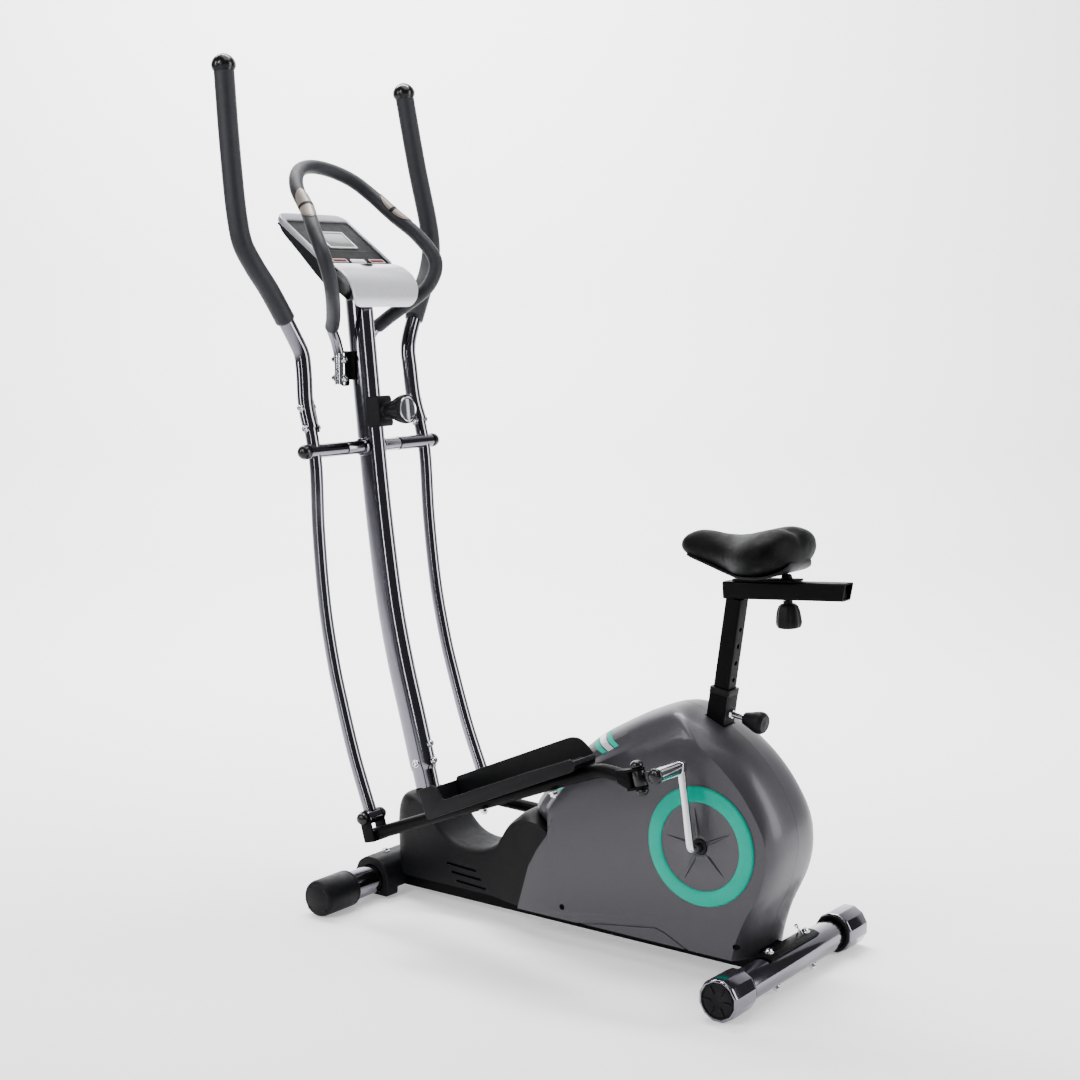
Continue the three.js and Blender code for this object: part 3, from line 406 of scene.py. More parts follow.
def plate(outline, y0, y1, holes=(), *, edge, rounds=2):
    """An XZ outline with eased edges, from y0 to y1."""
    curve = bpy.data.curves.new("plate", "CURVE")
    curve.dimensions = "2D"
    curve.fill_mode = "BOTH"
    for loop in (outline, *holes):
        spline = curve.splines.new("POLY")
        spline.points.add(len(loop) - 1)
        spline.use_cyclic_u = True
        for point, (x, z) in zip(spline.points, loop):
            point.co = (x, z, 0, 1)
    curve.extrude = (y1 - y0) / 2 - edge
    curve.bevel_depth = edge
    curve.bevel_resolution = rounds
    curve.offset = -edge
    holder = bpy.data.objects.new("plate", curve)
    data = bpy.data.meshes.new_from_object(holder)
    mesh = bmesh.new()
    mesh.from_mesh(data)
    bpy.data.objects.remove(holder)
    bpy.data.meshes.remove(data)
    mesh.transform(shift(0, (y0 + y1) / 2, 0) @ spin(90, "X"))
    return mesh


def flat(outline, z0, z1, holes=(), **options):
    """An XY outline with eased edges, from z0 to z1."""
    first, *others = [[(x, -y) for x, y in line] for line in (outline, *holes)]
    return moved(plate(first, 0, z1 - z0, others, **options), shift(0, 0, z0) @ spin(90, "X"))


def circle(x, z, radius, sides, start=0.0, end=360.0):
    count = sides if end - start >= 360 else sides + 1
    turns = [radians(start + (end - start) * i / sides) for i in range(count)]
    return [(x + radius * cos(t), z + radius * sin(t)) for t in turns]


def rounded(outline, radius, steps=5):
    """The outline with each corner rounded off."""
    out = []
    count = len(outline)
    for i, corner in enumerate(outline):
        here = Vector(corner)
        before, after = Vector(outline[i - 1]), Vector(outline[(i + 1) % count])
        reach = min(radius, (before - here).length * 0.45, (after - here).length * 0.45)
        a = here + (before - here).normalized() * reach
        b = here + (after - here).normalized() * reach
        for k in range(steps + 1):
            t = k / steps
            out.append(tuple(a * (1 - t) ** 2 + here * 2 * t * (1 - t) + b * t * t))
    return out


def oblong(x0, x1, z0, z1, radius, steps=5):
    """A rectangle with rounded corners, given by its sides."""
    return rounded([(x0, z0), (x1, z0), (x1, z1), (x0, z1)], radius, steps)


def bolt_head(radius, height):
    """A domed cap head with a round socket, on a washer."""
    head = lathe([(0, 0), (radius, 0), (radius * 1.04, height * 0.3), (radius * 0.95, height * 0.7),
                  (radius * 0.75, height), (radius * 0.5, height), (radius * 0.45, height * 0.45),
                  (0, height * 0.45)], 24)
    return both(washer(radius * 1.35, 1.2), moved(head, shift(0, 0, 1.2)))


def washer(radius, height):
    return lathe([(0, 0), (radius, 0), (radius, height * 0.7), (radius * 0.95, height),
                  (0, height)], 28)


def hex_nut(across, height):
    nut = lathe([(0, 0), (across * 0.577, 0), (across * 0.577, height * 0.8),
                 (across * 0.5, height), (0, height)], 6)
    stud = lathe([(0, 0), (across * 0.3, 0), (across * 0.3, height + 3.0),
                  (across * 0.24, height + 4), (0, height + 4)], 20)
    return both(washer(across * 0.72, 1.4), moved(nut, shift(0, 0, 1.4)), stud)


# ---- driving dimensions
FRONT_FOOT = (-376, 35)
REAR_FOOT = (498, 36.22)
CRANK = (373, 236)
CRANK_R, CRANK_LEAN = 145, radians(8.3)  # the crank's throw, and its lean at rest
SHAFT = (-443, 877)
ROCKER, COUPLER = 700, 690  # from shaft to arm end, and from arm end to crank pin
ARM_Y = 160
HALF = 85  # half the covers' width


def linkage(sign):
    """Where a side's crank pin and link pivot are, how far its arm leans and its link slopes."""
    pin = Vector((CRANK[0] + sign * CRANK_R * sin(CRANK_LEAN),
                  CRANK[1] - sign * CRANK_R * cos(CRANK_LEAN)))
    to_shaft = Vector(SHAFT) - pin
    reach = to_shaft.length
    along = (COUPLER ** 2 - ROCKER ** 2 + reach ** 2) / (2 * reach)
    across = sqrt(COUPLER ** 2 - along ** 2)
    ahead = to_shaft / reach
    pivot = pin + ahead * along + Vector((-ahead.y, ahead.x)) * across
    lean = degrees(atan2(pivot.x - SHAFT[0], SHAFT[1] - pivot.y))
    slope = degrees(atan2(pin.y - pivot.y, pin.x - pivot.x))
    return pin, pivot, lean, slope


LINKAGE = {side: linkage(sign) for side, sign in SIDES.items()}

# ---- stabilisers and feet
for end, (x, z), half in (("front", FRONT_FOOT, 238), ("rear", REAR_FOOT, 229)):
    tube = along_y(bar(28, 2 * half, 1.5, 64), x, z, -half)
    piece(f"{end}_stabiliser_tube", tube, "frame", "black_chrome", [f"{end}_stabiliser"])

for side, sign in SIDES.items():
    put = side_pieces(side, "frame", mirror=False)
    x, z = FRONT_FOOT
    drum = lathe([(0, 246), (22, 246), (25, 244.5), (27, 244.8), (31, 244.2), (33.5, 241.5),
                  (35, 236), (35, 168), (34.2, 166.5), (34.2, 164), (35, 162.5), (34.4, 159.5),
                  (33, 158), (29, 158), (28.4, 160), (28.4, 200), (0, 200)], 64)
    ribs = [along_y(lathe([(0, 243.6), (3.2, 243.6), (3.2, 245.6), (2.6, 246.0), (0, 246.0)], 16),
                    px, pz, 0, sign) for px, pz in circle(x, z, 27.8, 4, 45, 405)]
    piece(f"roller_{side}", both(along_y(drum, x, z, 0, sign), *ribs), f"{side}_roller",
          "black_plastic", [f"front_roller_{side}"])

    x, z = REAR_FOOT
    shell = []
    for y, r in ((167, 31.5), (167, 35.4), (170, 37.2), (229, 37.2), (232.4, 36.4), (234, 33.6),
                 (234, 31.4), (231, 30.8), (231, 0.01)):
        shell.append([(px, sign * y, pz) for px, pz in circle(x, z, r, 12, 15, 375)])
    piece(f"leveller_{side}", skin(shell), f"{side}_leveller", "black_chrome",
          [f"rear_leveller_{side}"], bevel=1.4, cuts=3, sharp=20)
    face = lathe([(0, 231.2), (0, 233.2), (10, 233.4), (12, 234.6), (26, 234.8), (29.4, 234),
                  (30.2, 231.4)], 48)
    spokes = [moved(box(12, 27, -1.6, 1.6, 234.4, 236.6), spin(60 * k, "Z")) for k in range(6)]
    rim = lathe([(27.6, 234.0), (27.8, 236.2), (29.2, 236.6), (30.2, 235.6), (30.2, 234)], 48)
    piece(f"leveller_face_{side}", along_y(both(face, rim, *spokes), x, z, 0, sign),
          f"{side}_leveller", "black_plastic", bevel=0.5)
    seal = lathe([(28.3, 162.5), (31.5, 162.5), (33.5, 163.5), (33.8, 165.5), (33.4, 166.6),
                  (28.3, 166.6)], 48)
    put("leveller_seal", along_y(seal, x, z, 0, sign), "black_plastic")

arch = [(-42, 5), (-42, 46), (-33, 66), (-15, 78), (15, 78), (33, 66), (42, 46), (42, 5)]
arch = rounded([(FRONT_FOOT[0] + x, z) for x, z in arch], 7)
cover = piece("front_foot_arch", plate(arch, -90, 90, edge=2.5, rounds=3), "frame",
              "black_plastic", ["front_foot_cover"])
carve(cover, along_y(cylinder(29.5, 200, 48), *FRONT_FOOT, -100), box(-500, -300, -60, 60, -5, 20))

# The strap that seats the frame on the rear stabiliser, and its fasteners.
x, z = REAR_FOOT
strap = circle(x, z, 28.6, 16, 58, 202) + circle(x, z, 32.4, 16, 202, 58)
piece("rear_strap", plate(strap, -85, 85, edge=0.9), "frame", "black_paint")


def radial(part, centre, reach, angle, y):
    """A fastener that stands out from a tube at an angle in degrees."""
    way = (cos(radians(angle)), 0, sin(radians(angle)))
    return aimed(part, (centre[0] + reach * way[0], y, centre[1] + reach * way[2]), way)


fasteners = []
for y in (-64, 64):
    fasteners += [radial(bolt_head(6.4, 5), REAR_FOOT, 32.2, 92, y),
                  radial(hex_nut(12, 5), REAR_FOOT, 27.6, -62, y)]
fasteners += [radial(bolt_head(6, 5), FRONT_FOOT, 42.6, 100, y) for y in (-38.4, 38.4)]
piece("foot_fasteners", both(*fasteners), "frame", "chrome")
clip = smooth_path([(x - 2, 34, z + 32), (x + 2, 34, z + 44), (x - 3, 37, z + 52),
                    (x - 9, 41, z + 48), (x - 4, 46, z + 42), (x + 3, 48, z + 33)], 40)
piece("strap_clip", sweep(clip, 1.3, 12), "frame", "chrome")

# ---- covers
EDGE = 46
SEAM = [(-21, EDGE), (4, 131), (25, 168), (47, 198)]
SIDE_LINE = SEAM + [
    (50, 212), (90, 268), (131, 317), (205, 352), (277, 386), (349, 420), (369, 409),
    (409, 379), (448, 342), (478, 301), (494, 269), (498, 244), (495, 200), (484, 163),
    (462, 124), (444, 80), (436, EDGE)]
CROWN_LINE = SEAM + [
    (-18, 228), (30, 297), (76, 345), (125, 385), (175, 415), (232, 444), (292, 464), (333, 452),
    (393, 424), (449, 380), (490, 325), (509, 283), (515, 246), (510, 206), (497, 162),
    (480, 122), (468, 80), (461, EDGE)]


def half_shell(side_line, crown_line, levels, width, sign):
    """Half of a cover and its rings, from past the middle plane out to the flat side panel.

    levels(x, step) gives how far the outline keeps to the crown at each of the steps out.
    """
    seam_gap, overlap = 0.2, 8
    rings = []
    for step, out in enumerate(OUTS):
        ring = []
        for a, b in zip(side_line, crown_line):
            share = levels(a[0], step)
            px, pz = a[0] + (b[0] - a[0]) * share, a[1] + (b[1] - a[1]) * share
            ring.append((px, sign * (seam_gap + (width(px) - seam_gap) * out), pz))
        rings.append(ring)
    rings.insert(0, [(px, -overlap * sign, pz) for px, _, pz in rings[0]])
    return skin(rings), rings


def hollow(rings, wall):
    """The room inside a cover: its rings moved inwards by the wall."""
    depth_share = 0.925
    inner = []
    for ring in rings:
        count = len(ring)
        area = sum(ring[k - 1][0] * ring[k][2] - ring[k][0] * ring[k - 1][2] for k in range(count))
        way = wall if area > 0 else -wall
        moved_in = []
        for k, (px, py, pz) in enumerate(ring):
            a, b = ring[k - 1], ring[(k + 1) % count]
            dx, dz = b[0] - a[0], b[2] - a[2]
            size = hypot(dx, dz) or 1
            moved_in.append((px - way * dz / size, py * depth_share, pz + way * dx / size))
        inner.append(moved_in)
    return skin(inner)


def matched(first, second, seam_count, count):
    """Two outlines resampled to the same number of points, joint by joint."""
    out = ([], [])
    for line, result in zip((first, second), out):
        result.extend(line[:seam_count - 1])
        curved = [(x, 0, z) for x, z in line[seam_count - 1:]]
        result.extend((p.x, p.z) for p in smooth_path(curved, count))
    return out


side_line, crown_line = matched(SIDE_LINE, CROWN_LINE, len(SEAM), 280)
OUTS = [0, 0.2, 0.4, 0.55, 0.64, 0.72, 0.8, 0.88, 0.945, 1]
BACK_SHARES = [1, 0.988, 0.945, 0.875, 0.8, 0.715, 0.575, 0.4, 0.2, 0]
FRONT_SHARES = [1, 0.985, 0.92, 0.83, 0.745, 0.66, 0.47, 0.385, 0.3, 0]


def cover_share(px, step):
    """Ridged ahead of the seat, one smooth round behind it."""
    ahead = min(1.0, max(0.0, (349 - px) / 170))
    front = 1 - (1 - ahead) ** 2
    return BACK_SHARES[step] + (FRONT_SHARES[step] - BACK_SHARES[step]) * front


def draped(first, last, out0, out1, sign):
    """A thin patch laid on the cover between two stations, at shares out from the middle."""
    lift, cells = 1.1, 6

    def at(px, out, rise):
        k = min(range(24, len(side_line) // 2), key=lambda i: abs(crown_line[i][0] - px))
        step = next(i for i in range(1, len(OUTS)) if OUTS[i] >= out)
        part = (out - OUTS[step - 1]) / (OUTS[step] - OUTS[step - 1])
        share = (cover_share(side_line[k][0], step - 1) * (1 - part)
                 + cover_share(side_line[k][0], step) * part)
        a, b = Vector(side_line[k]), Vector(crown_line[k])
        spot = a.lerp(b, share) + (b - a).normalized() * rise
        return spot.x, sign * (0.2 + (HALF - 0.2) * out + rise * 0.5), spot.y
    rows = []
    for i in range(cells + 1):
        out = out0 + (out1 - out0) * i / cells
        rows.append([at(px, out, rise) for px, rise in
                     ((first, lift), (last, lift), (last, -0.8), (first, -0.8))])
    return skin(rows)


SEAT = shift(366, 0, 500) @ spin(8, "Y")
COVER_SCREWS = ((81, 69), (444, 71))


def rail_room():
    """The room that the frame's main rail takes up in the covers."""
    return box(-500, 600, -30.6, 30.6, 0, 56.6)


for side, sign in SIDES.items():
    put = side_pieces(side, "frame", mirror=False)
    shell, rings = half_shell(side_line, crown_line, cover_share, lambda px: HALF, sign)
    cover = put("grey_cover", shell, "grey_plastic", "housing", bevel=2.6, cuts=3, sharp=20)
    seat_hole = moved(box(-20.4, 20.4, -20.4, 20.4, -120, 60), SEAT)
    bore = along_y(cylinder(14, 40, 48), *CRANK, sign * 60, sign)
    screws = [along_y(cylinder(5.6, 30, 32), sx, sz, sign * 78, sign) for sx, sz in COVER_SCREWS]
    line = [(113, 46), (165, 57), (281, 74), (301, 69), (353, 45)]
    lower_panel = [(106, 40), *line, (360, 40)]
    groove = [*line, (352, 41.6), (300, 65.8), (281, 70.6), (165.6, 53.6), (114, 42.6)]
    other_half = box(-600, 600, *sorted((-60 * sign, 0.2 * sign)), 0, 900)
    carve(cover, other_half, hollow(rings, wall=4), seat_hole, rail_room(), bore, *screws,
          plate(lower_panel, sign * HALF - 1.2, sign * HALF + 1.2, edge=0.1, rounds=0),
          plate(groove, sign * HALF - 3.4, sign * HALF + 3.4, edge=0.1, rounds=0), sharp=22)

    heads = []
    for sx, sz in COVER_SCREWS:
        head = lathe([(0, 0), (5.2, 0), (5.2, 1.4), (4.2, 3.0), (0, 3.4)], 24)
        slot = both(box(-3.4, 3.4, -0.6, 0.6, 2.8, 3.7), box(-0.6, 0.6, -3.4, 3.4, 2.8, 3.7))
        heads.append(along_y(both(head, slot), sx, sz, sign * 78.4, sign))
    put("cover_screws", both(*heads), "black_paint")

    # Side disc: teal ring, grey dish with five raised ribs, and a raised hub ring painted near
    # black as the shade of the hub recess.
    def on_disc(mesh):
        return along_y(mesh, *CRANK, sign * (HALF + 0.1), sign)

    ring = lathe([(77.5, 0), (77.5, 3.6), (79.5, 5.8), (83, 6.6), (101, 5.6), (104.2, 3.6),
                  (105, 1.2), (105, 0)], 96)
    put("teal_ring", on_disc(ring), "teal_plastic", "side_ring")
    dish = lathe([(14.5, 0), (14.5, 3.4), (17, 4.6), (22, 4.8), (25, 3.2), (60, 2.4), (70, 2.8),
                  (77, 3.0), (77, 0)], 96)
    ribs = []
    for k in range(5):
        rings = []
        for reach, half, high in ((17, 6.4, 5.6), (24, 5.4, 6.4), (50, 2.6, 5.0), (68, 0.7, 3.1)):
            rings.append([(reach, y, z) for y, z in ((-half, 1.6), (-half * 0.25, high),
                                                     (half * 0.25, high), (half, 1.6))])
        ribs.append(on_disc(moved(skin(rings), spin(-sign * (28 + 72 * k), "Z"))))
    put("side_dish", both(on_disc(dish), *ribs), "disc_grey")
    # The hub ring carries painted shade standing in for the hub recess.
    hub = lathe([(7.6, 0), (7.6, 5.2), (9, 6), (12.6, 6), (14.2, 4.8), (14.2, 0)], 48)
    put("hub_trim", on_disc(hub), "recess")

# The short stripes on the covers are thin colour inlays.
for side, sign in SIDES.items():
    for tint, bars in (("teal", ((111, 120, 0.36, 0.8), (138, 148, 0.36, 0.8), (9, 16, 0.8, 0.93))),
                       ("silver", ((123, 134, 0.36, 0.8),))):
        patches = [draped(*stripe, sign) for stripe in bars]
        piece(f"inlay_{tint}_{side}", both(*patches), "frame", f"{tint}_plastic")

# Front shroud.
SHROUD_SIDE = [(47, 198), (25, 168), (4, 131), (-21, EDGE),
               (-312, EDGE), (-316, 110), (-316, 150), (-313, 182), (-303, 196), (-276, 196),
               (-257, 178), (-235, 150), (-205, 128), (-165, 118), (-120, 123), (-93, 140),
               (-73, 168), (-55, 190), (-25, 210), (20, 213), (46.6, 199)]
SHROUD_CROWN = [(47, 198), (25, 168), (4, 131), (-21, EDGE),
                (-347, EDGE), (-351, 110), (-352, 150), (-346, 186), (-332, 206), (-276, 206),
                (-250, 186), (-230, 158), (-205, 139), (-165, 130), (-120, 136), (-92, 153),
                (-74, 178), (-62, 194), (-42, 211), (-17, 227), (46.6, 199)]


def flare(px):
    share = min(1.0, max(0.0, (px + 120) / 140))
    return 56 + (HALF - 3 - 56) * share * share * (3 - 2 * share)


def shroud_lines(count):
    out = ([], [])
    for line, result in zip((SHROUD_SIDE, SHROUD_CROWN), out):
        result.extend(line[:3])
        lower = smooth_path([(x, 0, z) for x, z in (line[3], line[4])], 40)
        result.extend((p.x, p.z) for p in lower[:-1])
        upper = smooth_path([(x, 0, z) for x, z in line[4:]], count)
        result.extend((p.x, p.z) for p in upper[:-1])
    return out


shroud_side, shroud_crown = shroud_lines(120)
SHROUD_SHARES = [1, 0.99, 0.965, 0.93, 0.89, 0.83, 0.73, 0.55, 0.32, 0]
for side, sign in SIDES.items():
    put = side_pieces(side, "frame", mirror=False)
    shell, _ = half_shell(shroud_side, shroud_crown, lambda px, step: SHROUD_SHARES[step], flare,
                          sign)
    cover = put("black_shroud", shell, "black_plastic", "front_shroud", sharp=24)
    slots = []
    for k in range(3):
        cx, cz = -177 + k * 12, 88 - k * 15.5
        line = [(cx - 36, cz - 0.4), (cx + 36, cz - 3.6), (cx + 36, cz + 0.8), (cx - 36, cz + 4)]
        slots.append(plate(rounded(line, 2), sign * 54 - 4, sign * 54 + 10, edge=0.1, rounds=0))
    line = [(-349, 150), (-250, 158), (-250, 160.4), (-349, 152.4)]
    slots.append(plate(line, sign * 55.2 - 0.2, sign * 55.2 + 6, edge=0.05, rounds=0))
    post = sweep(smooth_path([(-290, 0, 155), (-303, 0, 200), (-319, 0, 262)], 10),
                 oval(31.2, 21.2), 40, up=(1, 0, 0.3))
    carve(cover, *slots, rail_room(), post, sharp=24)

# ---- main post and cross shaft
POST = [(-263, 56), (-290, 155), (-314, 244), (-343, 349), (-370, 444), (-396, 555), (-420, 706),
        (-443, 894), (-465, 1102), (-474, 1192)]
post_path = smooth_path([(x, 0, z) for x, z in POST], 240)
upper = [p for p in post_path if 246 <= p.z <= 1186]
lower = [p for p in post_path if 190 <= p.z <= 290]


def lipped(depth, width):
    """An oval tube whose first end is rolled in slightly."""
    lip = 1.2

    def outline(share, turn):
        inset = lip * max(0.0, 1 - share * 120)
        return (depth - inset) * cos(turn), (width - inset) * sin(turn)
    return outline


post = piece("post_tube", sweep(upper, lipped(30, 20), 56, up=(1, 0, 0.2)), "frame",
             "black_chrome", ["main_post"])
piece("post_socket", sweep(lower, oval(27.6, 17.6), 48, up=(1, 0, 0.2)), "frame", "black_chrome")
carve(post, along_y(cylinder(13.4, 120, 48), *SHAFT, -60))


def post_at(z):
    return min(post_path, key=lambda p: abs(p.z - z))


screws = []
for z in (262, 292):
    here = post_at(z)
    for way, reach in (((0.97, 0, 0.24), 29.6), ((0, -1, 0), 19.7), ((0, 1, 0), 19.7)):
        if way[1] and z == 292:
            continue
        start = here + Vector(way) * reach
        screws.append(aimed(bolt_head(6.2, 4.6), start, way))
piece("post_screws", both(*screws), "frame", "chrome")

x, z = SHAFT
piece("cross_tube", along_y(bar(13, 152, 1, 48), x, z, -76), "frame", "black_chrome",
      ["cross_shaft"])
piece("cross_axle", along_y(bar(8, 366, 1, 32), x, z, -183), "frame", "chrome")
collars = [along_y(lathe([(13.2, 0), (17, 0.4), (17.6, 2), (17.6, 8), (16.4, 10), (13.2, 10)], 40),
                   x, z, s * 20.6, s) for s in (-1, 1)]
piece("cross_collars", both(*collars), "frame", "black_chrome")
for side, sign in SIDES.items():
    put = side_pieces(side, "frame", mirror=False)
    cap = lathe([(8.6, 181.4), (12.4, 181.4), (14, 183), (14.2, 187), (13.2, 192), (10.6, 196.6),
                 (6, 199.6), (0, 200.6)], 40)
    put("shaft_end", along_y(cap, x, z, 0, sign), "gloss_black", "shaft_cap")

# ---- tension control
TENSION = shift(-425, 0, 945) @ spin(-6, "Y")
base = plate(rounded([(-14, -30), (20, -30), (22, -24), (22, 24), (20, 30), (-14, 30)], 5),
             -20, 20, edge=3.5, rounds=4)
boss = aimed(lathe([(0, 0), (17, 0), (16.4, 5), (15, 7.4), (0, 7.4)], 40), (21, 0, 0), (1, 0, 0))
piece("tension_boss", boss, "frame", "black_plastic", place=TENSION)
block = piece("tension_housing", base, "frame", "black_plastic", ["tension_base"], place=TENSION)
carve(block, sweep(smooth_path([post_at(z) for z in (880, 920, 960, 1010)], 10), oval(30.4, 20.4),
                   48, up=(1, 0, 0.1)))
knob = lathe([(0, 29.6), (14, 29.6), (15.4, 30.6), (16, 33), (16.4, 40), (18.2, 46), (23, 56),
              (26.6, 66), (28.2, 72), (28.2, 75.4), (26.8, 77.2), (24.6, 77.4), (23.6, 75.2),
              (0, 75.2)], 60)
grips = []
for k in range(20):
    turn = 2 * pi * k / 20
    line = [(r * cos(turn), r * sin(turn), h) for r, h in ((16.6, 42), (22.9, 56), (27.3, 70))]
    grips.append(sweep(smooth_path(line, 8), 1.5, 8))
turned = TENSION @ spin(90, "Y")
piece("tension_grip", both(knob, *grips), "tension_knob", "black_plastic", ["tension_knob"],
      place=turned)
face = lathe([(0, 75.2), (0, 77.4), (8, 77.9), (20, 77.2), (20.6, 75.2)], 48)
rim = lathe([(20.6, 75.2), (20.8, 78.2), (23, 78.6), (24.2, 77.6), (24.4, 75.2)], 48)
piece("tension_face", face, "tension_knob", "chrome", place=turned)
piece("tension_rim", rim, "tension_knob", "chrome", place=turned)
pointer = both(box(-19, 19, -3.2, 3.2, 77.2, 79.6), box(14, 25.5, -2.2, 2.2, 77, 80))
piece("tension_pointer", pointer, "tension_knob", "silver_plastic", bevel=1.4, cuts=3, place=turned)

# ---- console
CONSOLE = shift(-523, 0, 1272) @ spin(35.6, "Y")
wedge = [(-79, -9.5), (-84, -12), (-62, -22), (-4, -29), (52, -37), (82, -40), (92, -32),
         (84, -9.5)]
piece("console_back", plate(rounded(wedge, 7), -92.5, 92.5, edge=4.5, rounds=4), "frame",
      "black_plastic", ["console_shell"], place=CONSOLE)
neck = sweep([(-476.5, 0, 1187), (-479, 0, 1204), (-482, 0, 1224)], lambda share,
             turn: ((30 + 10 * share) * cos(turn), (23 + 12 * share) * sin(turn)), 48, up=(1, 0, 0))
piece("console_neck", neck, "frame", "black_plastic")


def rounded_panel(x0, x1, y0, y1, z0, z1, corner, edge=0.8):
    return flat(oblong(x0, x1, y0, y1, corner, 6), z0, z1, edge=edge)


def rounded_frame(x0, x1, y0, y1, z0, z1, corner, wide, edge=0.6):
    """The border of such a panel, as wide as stated."""
    inner = oblong(x0 + wide, x1 - wide, y0 + wide, y1 - wide, max(0.5, corner - wide * 0.6), 6)
    return flat(oblong(x0, x1, y0, y1, corner, 6), z0, z1, [inner], edge=edge)


panel = piece("console_panel", rounded_panel(-70, 79, -88, 88, -3, 0, 6), "frame", "black_paint",
              ["console_face"], place=CONSOLE)
openings = [rounded_panel(56.4, 71.6, y0, y1, -5, 3, 3.2)
            for y0, y1 in ((-76.6, -31.4), (-20.6, 20.6), (31.4, 76.6))]
carve(panel, *[moved(hole, CONSOLE) for hole in openings])
piece("display_window", rounded_panel(-31, 17, -36, 36, -2, 0.9, 2.5), "frame", "lens",
      ["lcd_lens"], place=CONSOLE)
piece("display_frame", rounded_frame(-34.5, 20.5, -39.5, 39.5, -1, 2, 4, 3.6), "frame",
      "silver_plastic", place=CONSOLE)
# A thin dark strip on the panel: painted shade standing in for a groove.
piece("painted_groove_shade", rounded_panel(29, 31.5, -86, 86, -0.2, 0.25, 1.2, edge=0.1), "frame",
      "recess", place=CONSOLE)

for side, sign in SIDES.items():
    keys = rounded_panel(57, 71, *sorted((sign * 32, sign * 76)), -3, 1.6, 3)
    piece(f"key_{side}", keys, f"button_{side}", "gloss_black", [f"button_{side}"], place=CONSOLE)
    for tint, inset in (("white", 1.2), ("red", 3.4)):
        y0, y1 = sorted((sign * (32 + inset), sign * (76 - inset)))
        ring = rounded_frame(57 + inset, 71 - inset, y0, y1, 1.3, 1.8, 2.2, 0.9, edge=0.15)
        piece(f"key_{tint}_{side}", ring, f"button_{side}", f"{tint}_print", place=CONSOLE)
strip = rounded_panel(58, 70, -20, 20, -3, 1.6, 2.5)
piece("key_centre", strip, "button_centre", "silver_plastic", ["button_centre"], place=CONSOLE)
marks = [rounded_panel(62, 65.5, y - 3, y + 3, 1.4, 2.3, 1.2, edge=0.3) for y in (-10, 0, 10)]
piece("key_centre_marks", both(*marks), "button_centre", "white_print", place=CONSOLE)

# The silver surround: a brow, two side rails and a lip that rolls over towards the rider. The brow
# and rails take a darker copy of the silver as painted shade.
corner = oblong(84, -96, -96.5, 96.5, 30, 10)
inner = oblong(79.5, -70.6, -88.6, 88.6, 9, 6)
surround = flat(corner, -8.6, 2.4, [inner], edge=2.2, rounds=4)
piece("console_surround", surround, "frame", "shaded_silver", ["console_trim"], place=CONSOLE)
chin = [(80, -4), (100, 2.6), (112, 3.8), (124, 3.2), (135, 0.2), (144, -5), (150, -10),
        (154, -18), (154, -27), (147, -32), (92, -34), (84, -20)]
piece("console_chin", plate(rounded(chin, 3), -89, 89, edge=3.5, rounds=4), "frame", "gloss_black",
      place=CONSOLE)
LIP = [(79.5, 1.6, 93), (88, 4.2, 96), (100, 6.6, 98), (112, 7.8, 98.5), (124, 7.2, 98.5),
       (136, 4.2, 98), (146, -1.2, 97), (154, -8.2, 95), (160, -16.5, 92), (163.5, -25, 87),
       (164.6, -31, 79), (164.8, -33.4, 70)]
lip = bmesh.new()
rows = [[lip.verts.new((px, -half + 2 * half * k / 28, pz)) for k in range(29)]
        for px, pz, half in LIP]
for low, high in zip(rows, rows[1:]):
    for k in range(28):
        lip.faces.new((low[k], low[k + 1], high[k + 1], high[k]))
holder = shown_mesh("lip", lip)
thick = holder.modifiers.new("thick", "SOLIDIFY")
thick.thickness, thick.offset = 4.2, -1
edge = holder.modifiers.new("edges", "BEVEL")
edge.width, edge.segments, edge.limit_method = 1.4, 3, "ANGLE"
fine = holder.modifiers.new("fine", "SUBSURF")
fine.levels = fine.render_levels = 1
bake(holder)
lip = bmesh.new()
lip.from_mesh(holder.data)
bpy.data.objects.remove(holder)
piece("console_lip", lip, "frame", "silver_plastic", place=CONSOLE, sharp=60)

# ---- fixed handlebar
FOAM_HALF = [(-484, 64, 1106), (-463, 82, 1128), (-412, 142, 1189), (-409, 161, 1235),
             (-443, 150, 1285), (-488, 123, 1329), (-531, 104, 1370), (-556, 80, 1396),
             (-577, 42, 1414)]
TUBE_HALF = [(-485, 39, 1006), (-486, 39, 1040), (-489, 46, 1078)] + FOAM_HALF
TOP = (-584.6, 0, 1420)


def whole_loop(half, count):
    other = [(px, -py, pz) for px, py, pz in reversed(half)]
    return smooth_path(half + [TOP] + other, count)


foam_loop = whole_loop(FOAM_HALF, 220)
piece("handlebar_bar", sweep(whole_loop(TUBE_HALF, 240), 10.6, 28), "frame", "black_chrome",
      ["handlebar_tube"])


def foam_sleeve(radius, roll=1.6, length=700.0):
    """A foam tube's radius along its length, with soft rolled ends."""
    def outline(share, turn):
        near = min(share, 1 - share) * length
        r = radius - roll * max(0.0, 1 - near / 3.0) ** 2
        return r * cos(turn), r * sin(turn)
    return outline


piece("handlebar_sleeve", sweep(foam_loop, foam_sleeve(13.8), 36), "frame", "foam",
      ["handlebar_foam"])


